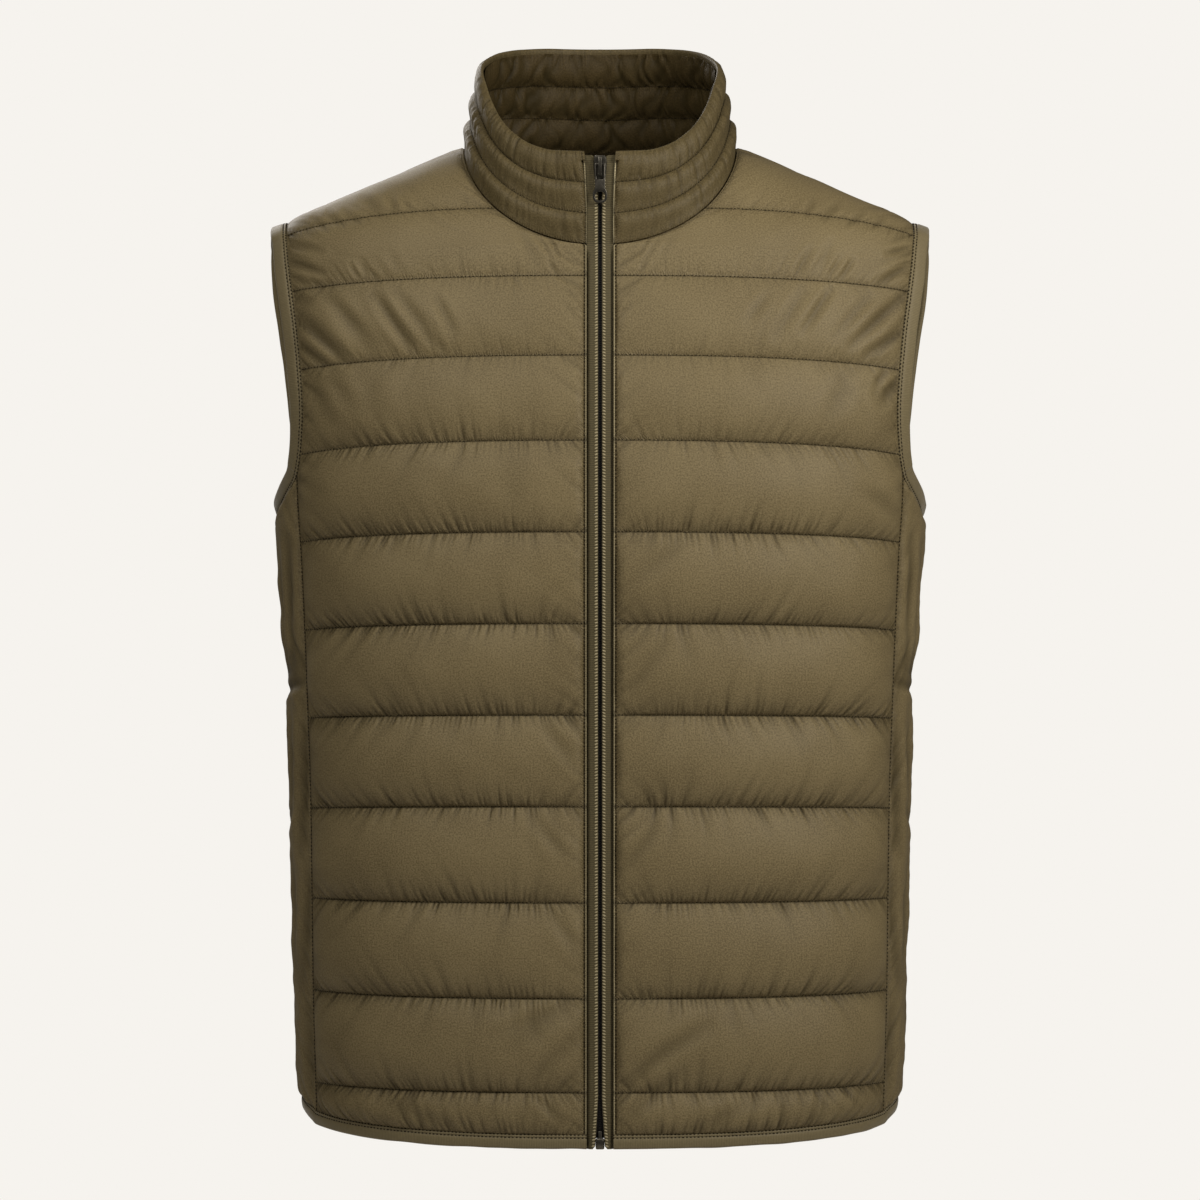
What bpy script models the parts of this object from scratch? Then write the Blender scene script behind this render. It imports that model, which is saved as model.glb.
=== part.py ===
"""A sleeveless quilted vest, zipped to the top of its stand collar and filled out as when worn.

Every piece that is cut and sewn on is its own closed solid: two quilted fronts, a quilted back that
wraps over the shoulders, two padded side panels, an outer and an inner collar, the folded binding tape
round each armhole and the hem, and the open-end zip with its tapes, chain, slider, pull tab and box.

Lengths are in millimetres until a mesh is made. X runs to the wearer's left, the front faces -Y and Z is
up. The origin is midway between the shoulders' high points, where the garment rests on its wearer.
"""

import math

import bmesh
import bpy
import numpy as np
from mathutils.geometry import tessellate_polygon

METRES = 0.001

# ---------------------------------------------------------------- the worn form, at the stitch lines
SQUARENESS = 2.4
TORSO = (  # height, half_width, front_depth, back_depth
    (14, 74, 36, 66),
    (0, 90, 52, 80),
    (-14, 122, 68, 92),
    (-31, 159, 82, 101),
    (-45.5, 192, 90, 107),
    (-52, 209, 94, 109),
    (-63, 225, 98, 113),
    (-80, 232, 103, 116),
    (-100, 235, 109, 119),
    (-150, 232, 118, 121),
    (-200, 223, 123, 118),
    (-250, 214, 124, 113),
    (-300, 210, 122, 108),
    (-350, 206, 119, 103),
    (-400, 204.5, 117, 101),
    (-450, 203.5, 116.5, 101),
    (-500, 202.3, 117, 103),
    (-560, 200.7, 118, 106),
    (-620, 199, 119, 108),
    (-670, 197, 119, 109),
)
SHOULDER_TIP_X = 209.0
NECK_HALF_WIDTH = 90.5
NECK_FRONT_DROP = 73.0
NECK_BACK_DEPTH = 76.0

# ---------------------------------------------------------------- the seams between panels
ZIP_EDGE = 8.7  # from the centre front to the folded edge of each front
ARMHOLE_FRONT = (  # height, x of the front's edge
    (-50, 209),
    (-54, 208.4),
    (-63, 207.2),
    (-80, 205.2),
    (-100, 202.4),
    (-125, 198.9),
    (-150, 196.3),
    (-180, 194.6),
    (-206, 196.2),
    (-222, 199),
)
ARMHOLE_BACK = (  # height, x of the back's edge
    (-50, 209),
    (-54, 210.3),
    (-63, 213),
    (-80, 214.2),
    (-100, 213.4),
    (-125, 210.5),
    (-150, 207.5),
    (-180, 204.5),
    (-206, 201.5),
    (-222, 199),
)
SIDE_SEAM = (  # height, x of the seam between a side panel and the front or back
    (-222, 199),
    (-240, 198.6),
    (-272, 196.5),
    (-363, 193),
    (-440, 190.5),
    (-560, 189),
    (-660, 186),
)
SIDE_SEAM_TOP = -222.0
UNDERARM_HEIGHT = -250.0
SEAM_FORWARD_AT_TIP = 4.0  # of the shoulder's ridge

QUILT = (  # line, height at the zip or centre back, height at the side or armhole, puff above it
    ("hem seam", -647.2, -639.3, 5.0),
    ("line 1", -620.0, -620.2, 8.5),
    ("line 2", -559.6, -559.3, 8.5),
    ("line 3", -498.0, -498.8, 8.5),
    ("line 4", -436.0, -439.7, 8.5),
    ("line 5", -377.0, -380.5, 8.5),
    ("line 6", -318.0, -322.7, 8.2),
    ("line 7", -259.0, -264.9, 7.8),
    ("line 8", -200.0, -207.7, 7.2),
    ("line 9", -145.0, -152.5, 6.4),
    ("line 10", -93.0, -100.7, 5.6),
    ("line 11", -48.0, -62.8, 4.8),
)
HEM_RISE_ON_SIDE = 7.8  # of the hem seam, from a side panel's seams to its middle
SIDE_PUFF = 4.0
EDGE_EASE = 14.0  # width over which a channel flattens into a seam
WALL = 2.0
SEAM_GAP = 0.3

FOLDS = (  # panel, x and height of one end, x and height of the other, half width, share of the puff lost
    ("front_right", 198, -113, 166, -146, 7, 0.34),
    ("front_right", 176, -104, 144, -140, 7, 0.26),
    ("front_right", 144, -108, 121, -141, 6, 0.34),
    ("front_right", 126, -106, 108, -135, 6, 0.22),
    ("front_right", 105, -108, 92, -132, 6, 0.24),
    ("front_right", 32, -72, 12, -88, 6, 0.35),
    ("front_right", 196, -72, 180, -80, 6, 0.24),
    ("front_right", 20, -562, 58, -590, 10, 0.26),
    ("front_right", 96, -638, 140, -628, 9, 0.30),
    ("front_left", 32, -72, 12, -88, 6, 0.35),
    ("front_left", 198, -104, 160, -136, 7, 0.30),
    ("front_left", 150, -102, 130, -130, 6, 0.22),
    ("front_left", 196, -86, 178, -98, 6, 0.24),
    ("front_left", 194, -160, 178, -176, 7, 0.26),
    ("front_left", 170, -232, 193, -247, 9, 0.24),
    ("front_left", 66, -578, 24, -604, 10, 0.26),
    ("front_left", 60, -640, 100, -626, 9, 0.30),
    ("back", -150, -180, -186, -196, 10, 0.28),
    ("back", 150, -178, 188, -192, 10, 0.28),
    ("back", 20, -70, 62, -92, 10, 0.22),
    ("back", -40, -336, 30, -352, 11, 0.24),
)
SIDE_FOLDS = (  # depth in front of the middle at each end, height of each end, half width, share lost
    (50, -356, -30, -370, 9, 0.62),
    (40, -290, -10, -320, 9, 0.45),
    (20, -430, -45, -462, 9, 0.45),
    (45, -520, -20, -556, 9, 0.45),
)

# ---------------------------------------------------------------- grids
STEPS_PER_CHANNEL = 4
FRONT_COLUMNS = (0, 0.045, 0.11, 0.19, 0.28, 0.37, 0.46, 0.55, 0.64, 0.73, 0.81, 0.88, 0.94, 1)
BACK_STEPS_OVER_SHOULDER = 7
SIDE_COLUMNS = 8
SIDE_ROWS = 26
# Angles round the neckline from the centre front, where the panels and both collars have their points.
NECK_BELOW_LINE_11 = (5.52, 16.5, 27.5, 38.5)
NECK_ABOVE_LINE_11 = (48.9, 56.5, 64, 71.5, 79, 86.5)
NECK_BEHIND_SEAM = (90, 100, 115, 131, 147, 163.5, 180)

# ---------------------------------------------------------------- collar
COLLAR_HALF_WIDTH = 79.0
COLLAR_DEPTH_CENTRE = -26.0
COLLAR_HALF_DEPTH = 80.0
COLLAR_TOP = (  # angle from the centre front in degrees, height of the rolled edge
    (0, -11.5),
    (22, -10),
    (34, -5.5),
    (47, 4.5),
    (55, 13),
    (62, 22),
    (68, 30.5),
    (76, 41),
    (90, 52),
    (105, 60),
    (122, 67.5),
    (138, 71.7),
    (157, 74),
    (180, 74.3),
)
COLLAR_CHANNELS = 3
COLLAR_PUFF = 2.7
COLLAR_INNER_PUFF = 3.8
COLLAR_INNER_TOP = 0.965  # share of the collar's height that its inner layer reaches
COLLAR_ROLL = (  # share of the height, distance out; the outer collar's top channel and its turned edge
    (0.74, 2.0),
    (0.84, 2.6),
    (0.92, 2.1),
    (0.975, 0.9),
    (1.0, -0.7),
    (0.985, -1.7),
    (0.965, -2.0),
)
COLLAR_FLARE = 2.9  # how far the zip's sides part at the top of the collar

# ---------------------------------------------------------------- binding tape, folded over the raw edges
ARMHOLE_BINDING_WIDTH = 11.5
ARMHOLE_FLARE = (  # height, degrees the tape stands out of the surface in front and behind
    (-250, 12, 12),
    (-239, 5, 5),
    (-228, 0, 0),
    (-180, 0, 0),
    (-125, 3, 4),
    (-98, 5, 12),
    (-80, 6, 20),
    (-63, 7, 26),
    (-50, 10, 10),
)
HEM_BINDING_WIDTH = 9.3
BINDING_PROUD = 0.9  # how far the folded tape stands out from each face of the wall

# ---------------------------------------------------------------- zip, depths measured out of its face
TAPE_FACE = -0.5
TAPE_THICKNESS = 1.2
CHAIN_HALF_WIDTH = 1.7
CHAIN_FACE = -1.0
CHAIN_THICKNESS = 2.2
ZIP_TOP_DROP = 2.5  # of the tapes' ends below the collar's rolled edge
ZIP_BOTTOM = -656.5
BOX_HALF_WIDTH = 3.1
BOX_HEIGHT = 7.0
BOX_PIN_HEIGHT = 4.5
BOX_SPREAD = 32.0  # length over which the tapes part round the box
SLIDER_TOP = -15.6
SLIDER_LENGTH = 17.6
SLIDER_HALF_WIDTH = 4.4
SLIDER_PLATE = (  # share of the length below the top, share of the half width
    (0.0, 0.68),
    (0.06, 0.9),
    (0.22, 1.0),
    (0.55, 0.94),
    (0.9, 0.76),
    (1.0, 0.62),
)
PLATE_THICKNESS = 1.3
FRONT_PLATE_FACE = 1.2
BACK_PLATE_FACE = -3.6
BRIDGE_HALF_WIDTH = 1.2
BRIDGE_UNDERSIDE = 4.1
PULL_AXIS_BELOW_TOP = 5.6
PULL_AXIS_OUT = 2.9
PULL_LENGTH = 25.0
PULL_THICKNESS = 1.1
PULL_HALF_WIDTH = 3.3
PULL_RING_HALF_WIDTH = 4.7

SHELL_OLIVE = (0.176, 0.133, 0.068)
TAPE_OLIVE = (0.150, 0.116, 0.062)
ZIP_BROWN = (0.070, 0.055, 0.032)
ZIP_BLACK = (0.012, 0.011, 0.010)
GUNMETAL = (0.110, 0.108, 0.104)


# ================================================================ curves through the tables
def curve(table, across=0, up=1):
    """A monotone cubic through two columns of a table, as a function that takes an array."""
    rows = sorted((row[across], row[up]) for row in table)
    xs = np.array([r[0] for r in rows], float)
    ys = np.array([r[1] for r in rows], float)
    steps = np.diff(xs)
    slopes = np.diff(ys) / steps
    tangents = np.empty_like(xs)
    tangents[0], tangents[-1] = slopes[0], slopes[-1]
    before, after = slopes[:-1], slopes[1:]
    same_way = before * after > 0
    safe = np.where(same_way, before + after, 1.0)
    tangents[1:-1] = np.where(same_way, 2 * before * after / safe, 0.0)

    def value(x):
        x = np.clip(np.asarray(x, float), xs[0], xs[-1])
        i = np.clip(np.searchsorted(xs, x) - 1, 0, len(steps) - 1)
        t = (x - xs[i]) / steps[i]
        rise = (3 - 2 * t) * t * t
        lead_in = t * (1 - t) ** 2 * steps[i] * tangents[i]
        lead_out = t * t * (t - 1) * steps[i] * tangents[i + 1]
        return ys[i] + (ys[i + 1] - ys[i]) * rise + lead_in + lead_out

    return value


half_width = curve(TORSO, 0, 1)
front_depth = curve(TORSO, 0, 2)
back_depth = curve(TORSO, 0, 3)
armhole_front_x = curve(ARMHOLE_FRONT)
armhole_back_x = curve(ARMHOLE_BACK)
side_seam_x = curve(SIDE_SEAM)
collar_top_height = curve(COLLAR_TOP)


# ================================================================ the torso's surface
def girth(points):
    """1 on the torso's surface, less inside it and more outside it."""
    x, y, z = points[..., 0], points[..., 1], points[..., 2]
    depth = np.where(y < 0, front_depth(z), back_depth(z))
    return (np.abs(x) / half_width(z)) ** SQUARENESS + (np.abs(y) / depth) ** SQUARENESS


def torso_y(x, z, face):
    """Where the front (face -1) or the back (face 1) lies at that x and height."""
    depth = front_depth(z) if face < 0 else back_depth(z)
    share = np.clip(np.abs(x) / half_width(z), 0, 1) ** SQUARENESS
    return face * depth * (1 - share) ** (1 / SQUARENESS)


def torso_x(y, z):
    """Where the wearer's left side lies at that depth and height."""
    depth = np.where(np.asarray(y) < 0, front_depth(z), back_depth(z))
    share = np.clip(np.abs(y) / depth, 0, 1) ** SQUARENESS
    return half_width(z) * (1 - share) ** (1 / SQUARENESS)


def torso_z(x, y):
    """The height of the shoulders' surface above a point of the plan."""
    x, y = np.broadcast_arrays(np.asarray(x, float), np.asarray(y, float))
    low = np.full(x.shape, -150.0)
    high = np.full(x.shape, float(TORSO[0][0]))
    for _ in range(40):
        middle = (low + high) / 2
        outside = girth(np.stack([x, y, middle], -1)) > 1
        high = np.where(outside, middle, high)
        low = np.where(outside, low, middle)
    return (low + high) / 2


def torso_normal(points):
    """The outward unit normal of the torso's surface at each point."""
    nudge = 1.5
    gradient = np.empty_like(points)
    for axis in range(3):
        step = np.zeros(3)
        step[axis] = nudge
        gradient[..., axis] = girth(points + step) - girth(points - step)
    return gradient / np.linalg.norm(gradient, axis=-1, keepdims=True)


def neck_point(angle):
    """A point of the neck seam on the wearer's left, at an angle from the centre front."""
    turn = math.radians(angle)
    x = NECK_HALF_WIDTH * math.sin(turn)
    if angle < 90:
        z = -NECK_FRONT_DROP * math.cos(turn)
        return np.array([x, float(torso_y(x, z, -1)), z])
    share = min(1.0, x / NECK_HALF_WIDTH) ** 2.1
    y = NECK_BACK_DEPTH * (1 - share) ** (1 / 2.1)
    return np.array([x, y, float(torso_z(x, y))])


def shoulder_seam(shares):
    """Points of the shoulder seam from the neck seam to the armhole, over the ridge's front slope."""
    start = neck_point(NECK_ABOVE_LINE_11[-1])
    shares = np.asarray(shares, float)
    x = start[0] + (SHOULDER_TIP_X - start[0]) * shares
    y = start[1] + (-SEAM_FORWARD_AT_TIP - start[1]) * shares**0.7
    return np.column_stack([x, y, torso_z(x, y)])


# ================================================================ quilting relief
def channel_shape(share):
    """The bulge across a channel, 0 at both stitch lines; the filling sags below the middle."""
    return np.sin(np.pi * np.clip(share, 0, 1) ** 0.86) ** 0.72


def edge_shape(distance, ease=EDGE_EASE):
    """0 at a seam, rising as a quarter ellipse to 1."""
    near = 1 - np.clip(distance / ease, 0, 1)
    return np.sqrt(1 - near * near)


def distances(grid, axis):
    """Length along each grid line from its start, and what is left to its end."""
    steps = np.linalg.norm(np.diff(grid, axis=axis), axis=-1)
    zero = np.zeros_like(np.take(steps, [0], axis=axis))
    run = np.concatenate([zero, np.cumsum(steps, axis=axis)], axis=axis)
    return run, np.take(run, [-1], axis=axis) - run


def fold_share(flat, start, end, half_breadth, lost):
    """What is left of the puff beside a fold that runs from start to end; flat holds (x, z) points."""
    start, end = np.array(start, float), np.array(end, float)
    line = end - start
    along = np.clip(((flat - start) @ line) / (line @ line), 0, 1)
    away = np.linalg.norm(flat - start - along[..., None] * line, axis=-1)
    return 1 - lost * np.exp(-((away / half_breadth) ** 2))


# ================================================================ meshes
def make_material(name, colour, roughness, metallic=0.0):
    material = bpy.data.materials.new(name)
    material.use_nodes = True
    shader = material.node_tree.nodes["Principled BSDF"]
    shader.inputs["Base Color"].default_value = (*colour, 1.0)
    shader.inputs["Roughness"].default_value = roughness
    shader.inputs["Metallic"].default_value = metallic
    material.diffuse_color = (*colour, 1.0)
    return material


def add_object(name, builder, material, origin=(0.0, 0.0, 0.0)):
    """An object from a filled bmesh in millimetres: closed, facing outwards, its origin as given."""
    bmesh.ops.remove_doubles(builder, verts=builder.verts, dist=1e-4)
    bmesh.ops.recalc_face_normals(builder, faces=builder.faces)
    bmesh.ops.translate(builder, vec=[-c for c in origin], verts=builder.verts)
    bmesh.ops.scale(builder, vec=(METRES,) * 3, verts=builder.verts)
    mesh = bpy.data.meshes.new(name)
    builder.to_mesh(mesh)
    builder.free()
    mesh.shade_smooth()
    mesh.set_sharp_from_angle(angle=math.radians(50))
    mesh.materials.append(material)
    shape = bpy.data.objects.new(name, mesh)
    shape.location = [c * METRES for c in origin]
    bpy.context.scene.collection.objects.link(shape)
    return shape


def add_quads(builder, rows):
    for below, above in zip(rows, rows[1:]):
        for a, b, c, d in zip(below, below[1:], above[1:], above):
            builder.faces.new((a, b, c, d))


def add_fans(builder, fine, coarse, kept):
    """Triangles between a fine edge and a coarse one; coarse[k] faces the fine edge's kept[k]."""
    for k in range(len(kept) - 1):
        start, stop = kept[k], kept[k + 1]
        middle = (start + stop) // 2
        for i in range(start, stop):
            builder.faces.new((fine[i], fine[i + 1], coarse[k] if i < middle else coarse[k + 1]))
        if coarse[k] is not coarse[k + 1]:
            builder.faces.new((coarse[k], fine[middle], coarse[k + 1]))


def quilted_wall(name, grid, relief, material, kept_rows, kept_columns):
    """A closed wall: the grid raised by its relief outside, and a plain, coarser face inside."""
    normals = torso_normal(grid)
    outer = grid + normals * relief[..., None]
    inner = grid - normals * WALL
    builder = bmesh.new()
    outside = [[builder.verts.new(p) for p in row] for row in outer]
    add_quads(builder, outside)
    core = [[builder.verts.new(inner[i, j]) for j in kept_columns[1:-1]] for i in kept_rows[1:-1]]
    add_quads(builder, core)
    corners = {(i, j): builder.verts.new(inner[i, j]) for i in (0, -1) for j in (0, -1)}

    def border(row, column):
        """The inner face's edge along one row or column of the grid, with all of its points."""
        line = inner[row] if column is None else inner[:, column]
        ends = ((row, 0), (row, -1)) if column is None else ((0, column), (-1, column))
        middle = [builder.verts.new(p) for p in line[1:-1]]
        return [corners[ends[0]], *middle, corners[ends[1]]]

    sides = (
        (border(0, None), outside[0], core[0], kept_columns),
        (border(-1, None), outside[-1], core[-1], kept_columns),
        (border(None, 0), [r[0] for r in outside], [r[0] for r in core], kept_rows),
        (border(None, -1), [r[-1] for r in outside], [r[-1] for r in core], kept_rows),
    )
    for inner_edge, outer_edge, core_edge, indices in sides:
        add_quads(builder, [inner_edge, outer_edge])
        add_fans(builder, inner_edge, [core_edge[0], *core_edge, core_edge[-1]], indices)
    return add_object(name, builder, material)


def swept_solid(name, stations, material, closed=False, end_outline=None):
    """A solid through sections that all have the same number of points.

    The end outline gives a section's flat form, where the ends themselves are bent or hollow.
    """
    builder = bmesh.new()
    rings = [[builder.verts.new(p) for p in ring] for ring in stations]
    pairs = list(zip(rings, rings[1:]))
    if closed:
        pairs.append((rings[-1], rings[0]))
    for ring, following in pairs:
        for k in range(len(ring)):
            j = (k + 1) % len(ring)
            builder.faces.new((ring[k], ring[j], following[j], following[k]))
    if not closed:
        for ring in (rings[0], rings[-1]):
            outline = [(*p, 0.0) for p in end_outline] if end_outline else [v.co for v in ring]
            for corners in tessellate_polygon([outline]):
                builder.faces.new([ring[k] for k in corners])
    return add_object(name, builder, material)


def pierced_plate(name, loops, thickness, place, origin, material):
    """A flat plate from its outline and its windows; place maps (across, up, out) to the row frame."""
    builder = bmesh.new()
    edges = []
    for loop in loops:
        verts = [builder.verts.new((u, v, 0.0)) for u, v in loop]
        edges += [builder.edges.new((a, b)) for a, b in zip(verts, verts[1:] + verts[:1])]
    filled = bmesh.ops.triangle_fill(builder, use_beauty=True, use_dissolve=False, edges=edges)
    face = [f for f in filled["geom"] if isinstance(f, bmesh.types.BMFace)]
    grown = bmesh.ops.extrude_face_region(builder, geom=face)
    moved = [v for v in grown["geom"] if isinstance(v, bmesh.types.BMVert)]
    bmesh.ops.translate(builder, vec=(0, 0, thickness), verts=moved)
    for vert in builder.verts:
        vert.co = place(vert.co.x, vert.co.y, vert.co.z - thickness / 2)
    return add_object(name, builder, material, origin)


# ================================================================ quilted panels
def mirrored(grid):
    """A grid of the wearer's left side as the right side's, its columns in the opposite order."""
    return grid[:, ::-1] * (-1, 1, 1)


def quilt_rows(top_steps=None):
    """Rows below the top channel: height at each end, and how far the row puffs out.

    The last of these channels can be given its own heights at the inner end.
    """
    rows = []
    channels = list(zip(QUILT, QUILT[1:]))
    for number, ((_, low_in, low_out, puff), (_, high_in, high_out, _)) in enumerate(channels):
        inner = np.linspace(low_in, high_in, STEPS_PER_CHANNEL + 1)
        if top_steps is not None and number == len(channels) - 1:
            inner = np.array([low_in, *top_steps, high_in])
        for step, z_in in enumerate(inner[:-1]):
            share = step / (len(inner) - 1)
            rows.append((z_in, low_out + (high_out - low_out) * share, puff * channel_shape(share)))
    rows.append((QUILT[-1][1], QUILT[-1][2], 0.0))
    return rows


def round_section(x_start, x_end, z_start, z_end, shares, face):
    """A row of points between two x, spaced evenly round the section rather than along x."""
    power = SQUARENESS / 2
    first = np.arcsin(np.clip(x_start / half_width(z_start), 0, 1) ** power)
    last = np.arcsin(np.clip(x_end / half_width(z_end), 0, 1) ** power)
    z = z_start + (z_end - z_start) * shares**2
    x = half_width(z) * np.sin(first + (last - first) * shares) ** (1 / power)
    x[0], x[-1] = x_start, x_end
    return np.column_stack([x, torso_y(x, z, face), z])


def panel_side_x(z, armhole_x):
    """The front's or back's edge: the side seam, and above it the armhole."""
    return float(armhole_x(z) if z > SIDE_SEAM_TOP + 1 else side_seam_x(z)) - SEAM_GAP / 2


def over_shoulder(lower, upper, inner):
    """Rows between the last stitch line and the shoulder seam, drawn in plan and laid on the surface.

    The inner points replace a straight inner edge; the outer edge stays straight in plan.
    """
    rows = []
    steps = len(inner) - 1
    across = np.linspace(0, 1, len(lower))
    for step in range(1, steps):
        share = step / steps
        plan = lower[:, :2] + (upper[:, :2] - lower[:, :2]) * share
        plan = plan + (inner[step, :2] - plan[0]) * (1 - across[:, None])
        row = np.column_stack([plan, torso_z(np.abs(plan[:, 0]), plan[:, 1])])
        row[0] = inner[step]
        rows.append(row)
    return [*rows, upper]


def front_grid():
    """The wearer's left front: its points at the stitch lines, and each row's puff."""
    shares = np.array(FRONT_COLUMNS)
    low_neck = [neck_point(angle) for angle in NECK_BELOW_LINE_11]
    high_neck = [neck_point(angle) for angle in NECK_ABOVE_LINE_11]
    rows, puffs = [], []
    for z_in, z_out, puff in quilt_rows([p[2] for p in low_neck]):
        x_in = ZIP_EDGE
        for point in (*low_neck, high_neck[0]):
            if abs(point[2] - z_in) < 0.5:
                x_in = max(ZIP_EDGE, point[0])
        rows.append(round_section(x_in, panel_side_x(z_out, armhole_front_x), z_in, z_out, shares, -1))
        puffs.append(puff)
    every_other = kept(len(shares), 2)
    coarse = shoulder_seam(shares[every_other]) - (0, SEAM_GAP / 2, 0)
    coarse[-1, 0] -= SEAM_GAP / 2
    seam = np.column_stack([np.interp(shares, shares[every_other], coarse[:, k]) for k in range(3)])
    above = over_shoulder(rows[-1], seam, np.array(high_neck))
    puffs += [channel_shape((k + 1) / len(above)) * QUILT[-1][3] for k in range(len(above))]
    return np.array(rows + above), np.array(puffs)


def back_grid():
    """The whole back, from the wearer's right to left, over the shoulders to the seams in front."""
    seam_shares = np.array(FRONT_COLUMNS)[kept(len(FRONT_COLUMNS), 2)]
    seam = shoulder_seam(seam_shares) + (0, SEAM_GAP / 2, 0)
    seam[-1, 0] -= SEAM_GAP / 2
    upper = np.array([neck_point(angle) for angle in reversed(NECK_BEHIND_SEAM)] + list(seam))
    shares = np.linspace(0, 1, len(upper))
    shares = shares + 0.10 * np.sin(np.pi * shares) * shares
    rows, puffs = [], []
    for z_in, z_out, puff in quilt_rows():
        rows.append(round_section(0.0, panel_side_x(z_out, armhole_back_x), z_in, z_out, shares, 1))
        puffs.append(puff)
    steps = np.linspace(0, 1, BACK_STEPS_OVER_SHOULDER + 1)
    centre_y = rows[-1][0, 1] + (upper[0, 1] - rows[-1][0, 1]) * steps
    centre = np.column_stack([centre_y * 0, centre_y, torso_z(centre_y * 0, centre_y)])
    above = over_shoulder(rows[-1], upper, centre)
    puffs += [channel_shape((k + 1) / len(above)) * QUILT[-1][3] for k in range(len(above))]
    half = np.array(rows + above)
    return np.concatenate([mirrored(half)[:, :-1], half], axis=1), np.array(puffs)


def side_grid():
    """The wearer's left side panel, from the front seam to the back seam."""
    columns = []
    for share in np.linspace(0, 1, SIDE_COLUMNS + 1):
        middle = math.sin(math.pi * share) ** 0.7
        top = SIDE_SEAM_TOP + (UNDERARM_HEIGHT - SIDE_SEAM_TOP) * middle
        bottom = QUILT[0][2] + HEM_RISE_ON_SIDE * middle
        z = np.linspace(bottom, top, SIDE_ROWS + 1)
        seam_x = side_seam_x(z) + SEAM_GAP / 2
        y_front, y_back = torso_y(seam_x, z, -1), torso_y(seam_x, z, 1)
        y = y_front + (y_back - y_front) * share
        columns.append(np.column_stack([torso_x(y, z), y, z]))
    return np.stack(columns, axis=1)


def kept(count, step):
    """Every step-th index, and the last one."""
    found = list(range(0, count - 1, step))
    return [*found, count - 1]


def panel_relief(name, grid, puffs):
    """Each row's puff, flattened towards the panel's two side edges and lessened along the folds."""
    from_start, to_end = distances(grid, 1)
    relief = puffs[:, None] * edge_shape(from_start) * edge_shape(to_end)
    flat = np.stack([grid[..., 0] if name == "back" else np.abs(grid[..., 0]), grid[..., 2]], -1)
    for panel, x1, z1, x2, z2, half_breadth, lost in FOLDS:
        if panel == name:
            relief = relief * fold_share(flat, (x1, z1), (x2, z2), half_breadth, lost)
    return relief


def side_relief(grid):
    from_front, to_back = distances(grid, 1)
    from_hem, to_underarm = distances(grid, 0)
    relief = SIDE_PUFF * edge_shape(from_front, 16) * edge_shape(to_back, 16)
    relief = relief * edge_shape(from_hem, 16) * edge_shape(to_underarm, 16)
    flat = np.stack([-grid[..., 1], grid[..., 2]], -1)
    for y1, z1, y2, z2, half_breadth, lost in SIDE_FOLDS:
        relief = relief * fold_share(flat, (y1, z1), (y2, z2), half_breadth, lost)
    return relief


def build_panels(shell):
    stitch_rows = [STEPS_PER_CHANNEL * k for k in range(len(QUILT) - 1)]
    front, front_puffs = front_grid()
    rows = [*stitch_rows, len(front) - len(NECK_ABOVE_LINE_11), len(front) - 1]
    columns = kept(front.shape[1], 2)
    relief = panel_relief("front_left", front, front_puffs)
    quilted_wall("front_left", front, relief, shell, rows, columns)
    columns = [front.shape[1] - 1 - j for j in reversed(columns)]
    right = mirrored(front)
    relief = panel_relief("front_right", right, front_puffs)
    quilted_wall("front_right", right, relief, shell, rows, columns)

    back, back_puffs = back_grid()
    line_11 = STEPS_PER_CHANNEL * (len(QUILT) - 1)
    rows = [*stitch_rows, line_11, line_11 + BACK_STEPS_OVER_SHOULDER // 2, len(back) - 1]
    relief = panel_relief("back", back, back_puffs)
    quilted_wall("back", back, relief, shell, rows, kept(back.shape[1], 2))

    side = side_grid()
    rows, columns = kept(len(side), 2), kept(side.shape[1], 2)
    quilted_wall("side_left", side, side_relief(side), shell, rows, columns)
    quilted_wall("side_right", mirrored(side), side_relief(mirrored(side)), shell, rows, columns)
    return front, back, side


# ================================================================ binding tape
def binding_stations(edge, away, width, closed, flare=0.0):
    """Sections of the folded tape along a panel edge; away points from the panel into the opening."""
    proud, inside = BINDING_PROUD, -WALL - BINDING_PROUD
    profile = (
        (0.0, 0.0),
        (0.9, proud),
        (width - 1.3, proud),
        (width, proud - 1.1),
        (width, inside + 1.1),
        (width - 1.3, inside),
        (0.9, inside),
        (0.0, -WALL),
    )
    normals = torso_normal(edge)
    if closed:
        along = np.roll(edge, -1, 0) - np.roll(edge, 1, 0)
    else:
        along = np.gradient(edge, axis=0)
    beyond = np.cross(along, normals)
    beyond /= np.linalg.norm(beyond, axis=1, keepdims=True)
    beyond *= np.sign(np.sum(beyond * away, axis=1, keepdims=True))
    turn = np.radians(np.broadcast_to(flare, len(edge)))[:, None]
    across = beyond * np.cos(turn) + normals * np.sin(turn)
    face = normals * np.cos(turn) - beyond * np.sin(turn)
    return [
        [point + out * SEAM_GAP + over * a + up * b for a, b in profile]
        for point, out, over, up in zip(edge, beyond, across, face)
    ]


def armhole_edge(front, back, side):
    """The left armhole's closed edge: up the front, down the back and under the arm."""
    lowest = int(np.argmax(front[:, -1, 2] > SIDE_SEAM_TOP + 1))
    up_front = front[lowest:, -1]
    lowest = int(np.argmax(back[:, -1, 2] > SIDE_SEAM_TOP + 1))
    down_back = back[lowest:, -1][::-1]
    tip = (up_front[-1] + down_back[0]) / 2
    return np.concatenate([up_front[:-1], [tip], down_back[1:], side[-1][::-1]])


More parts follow.
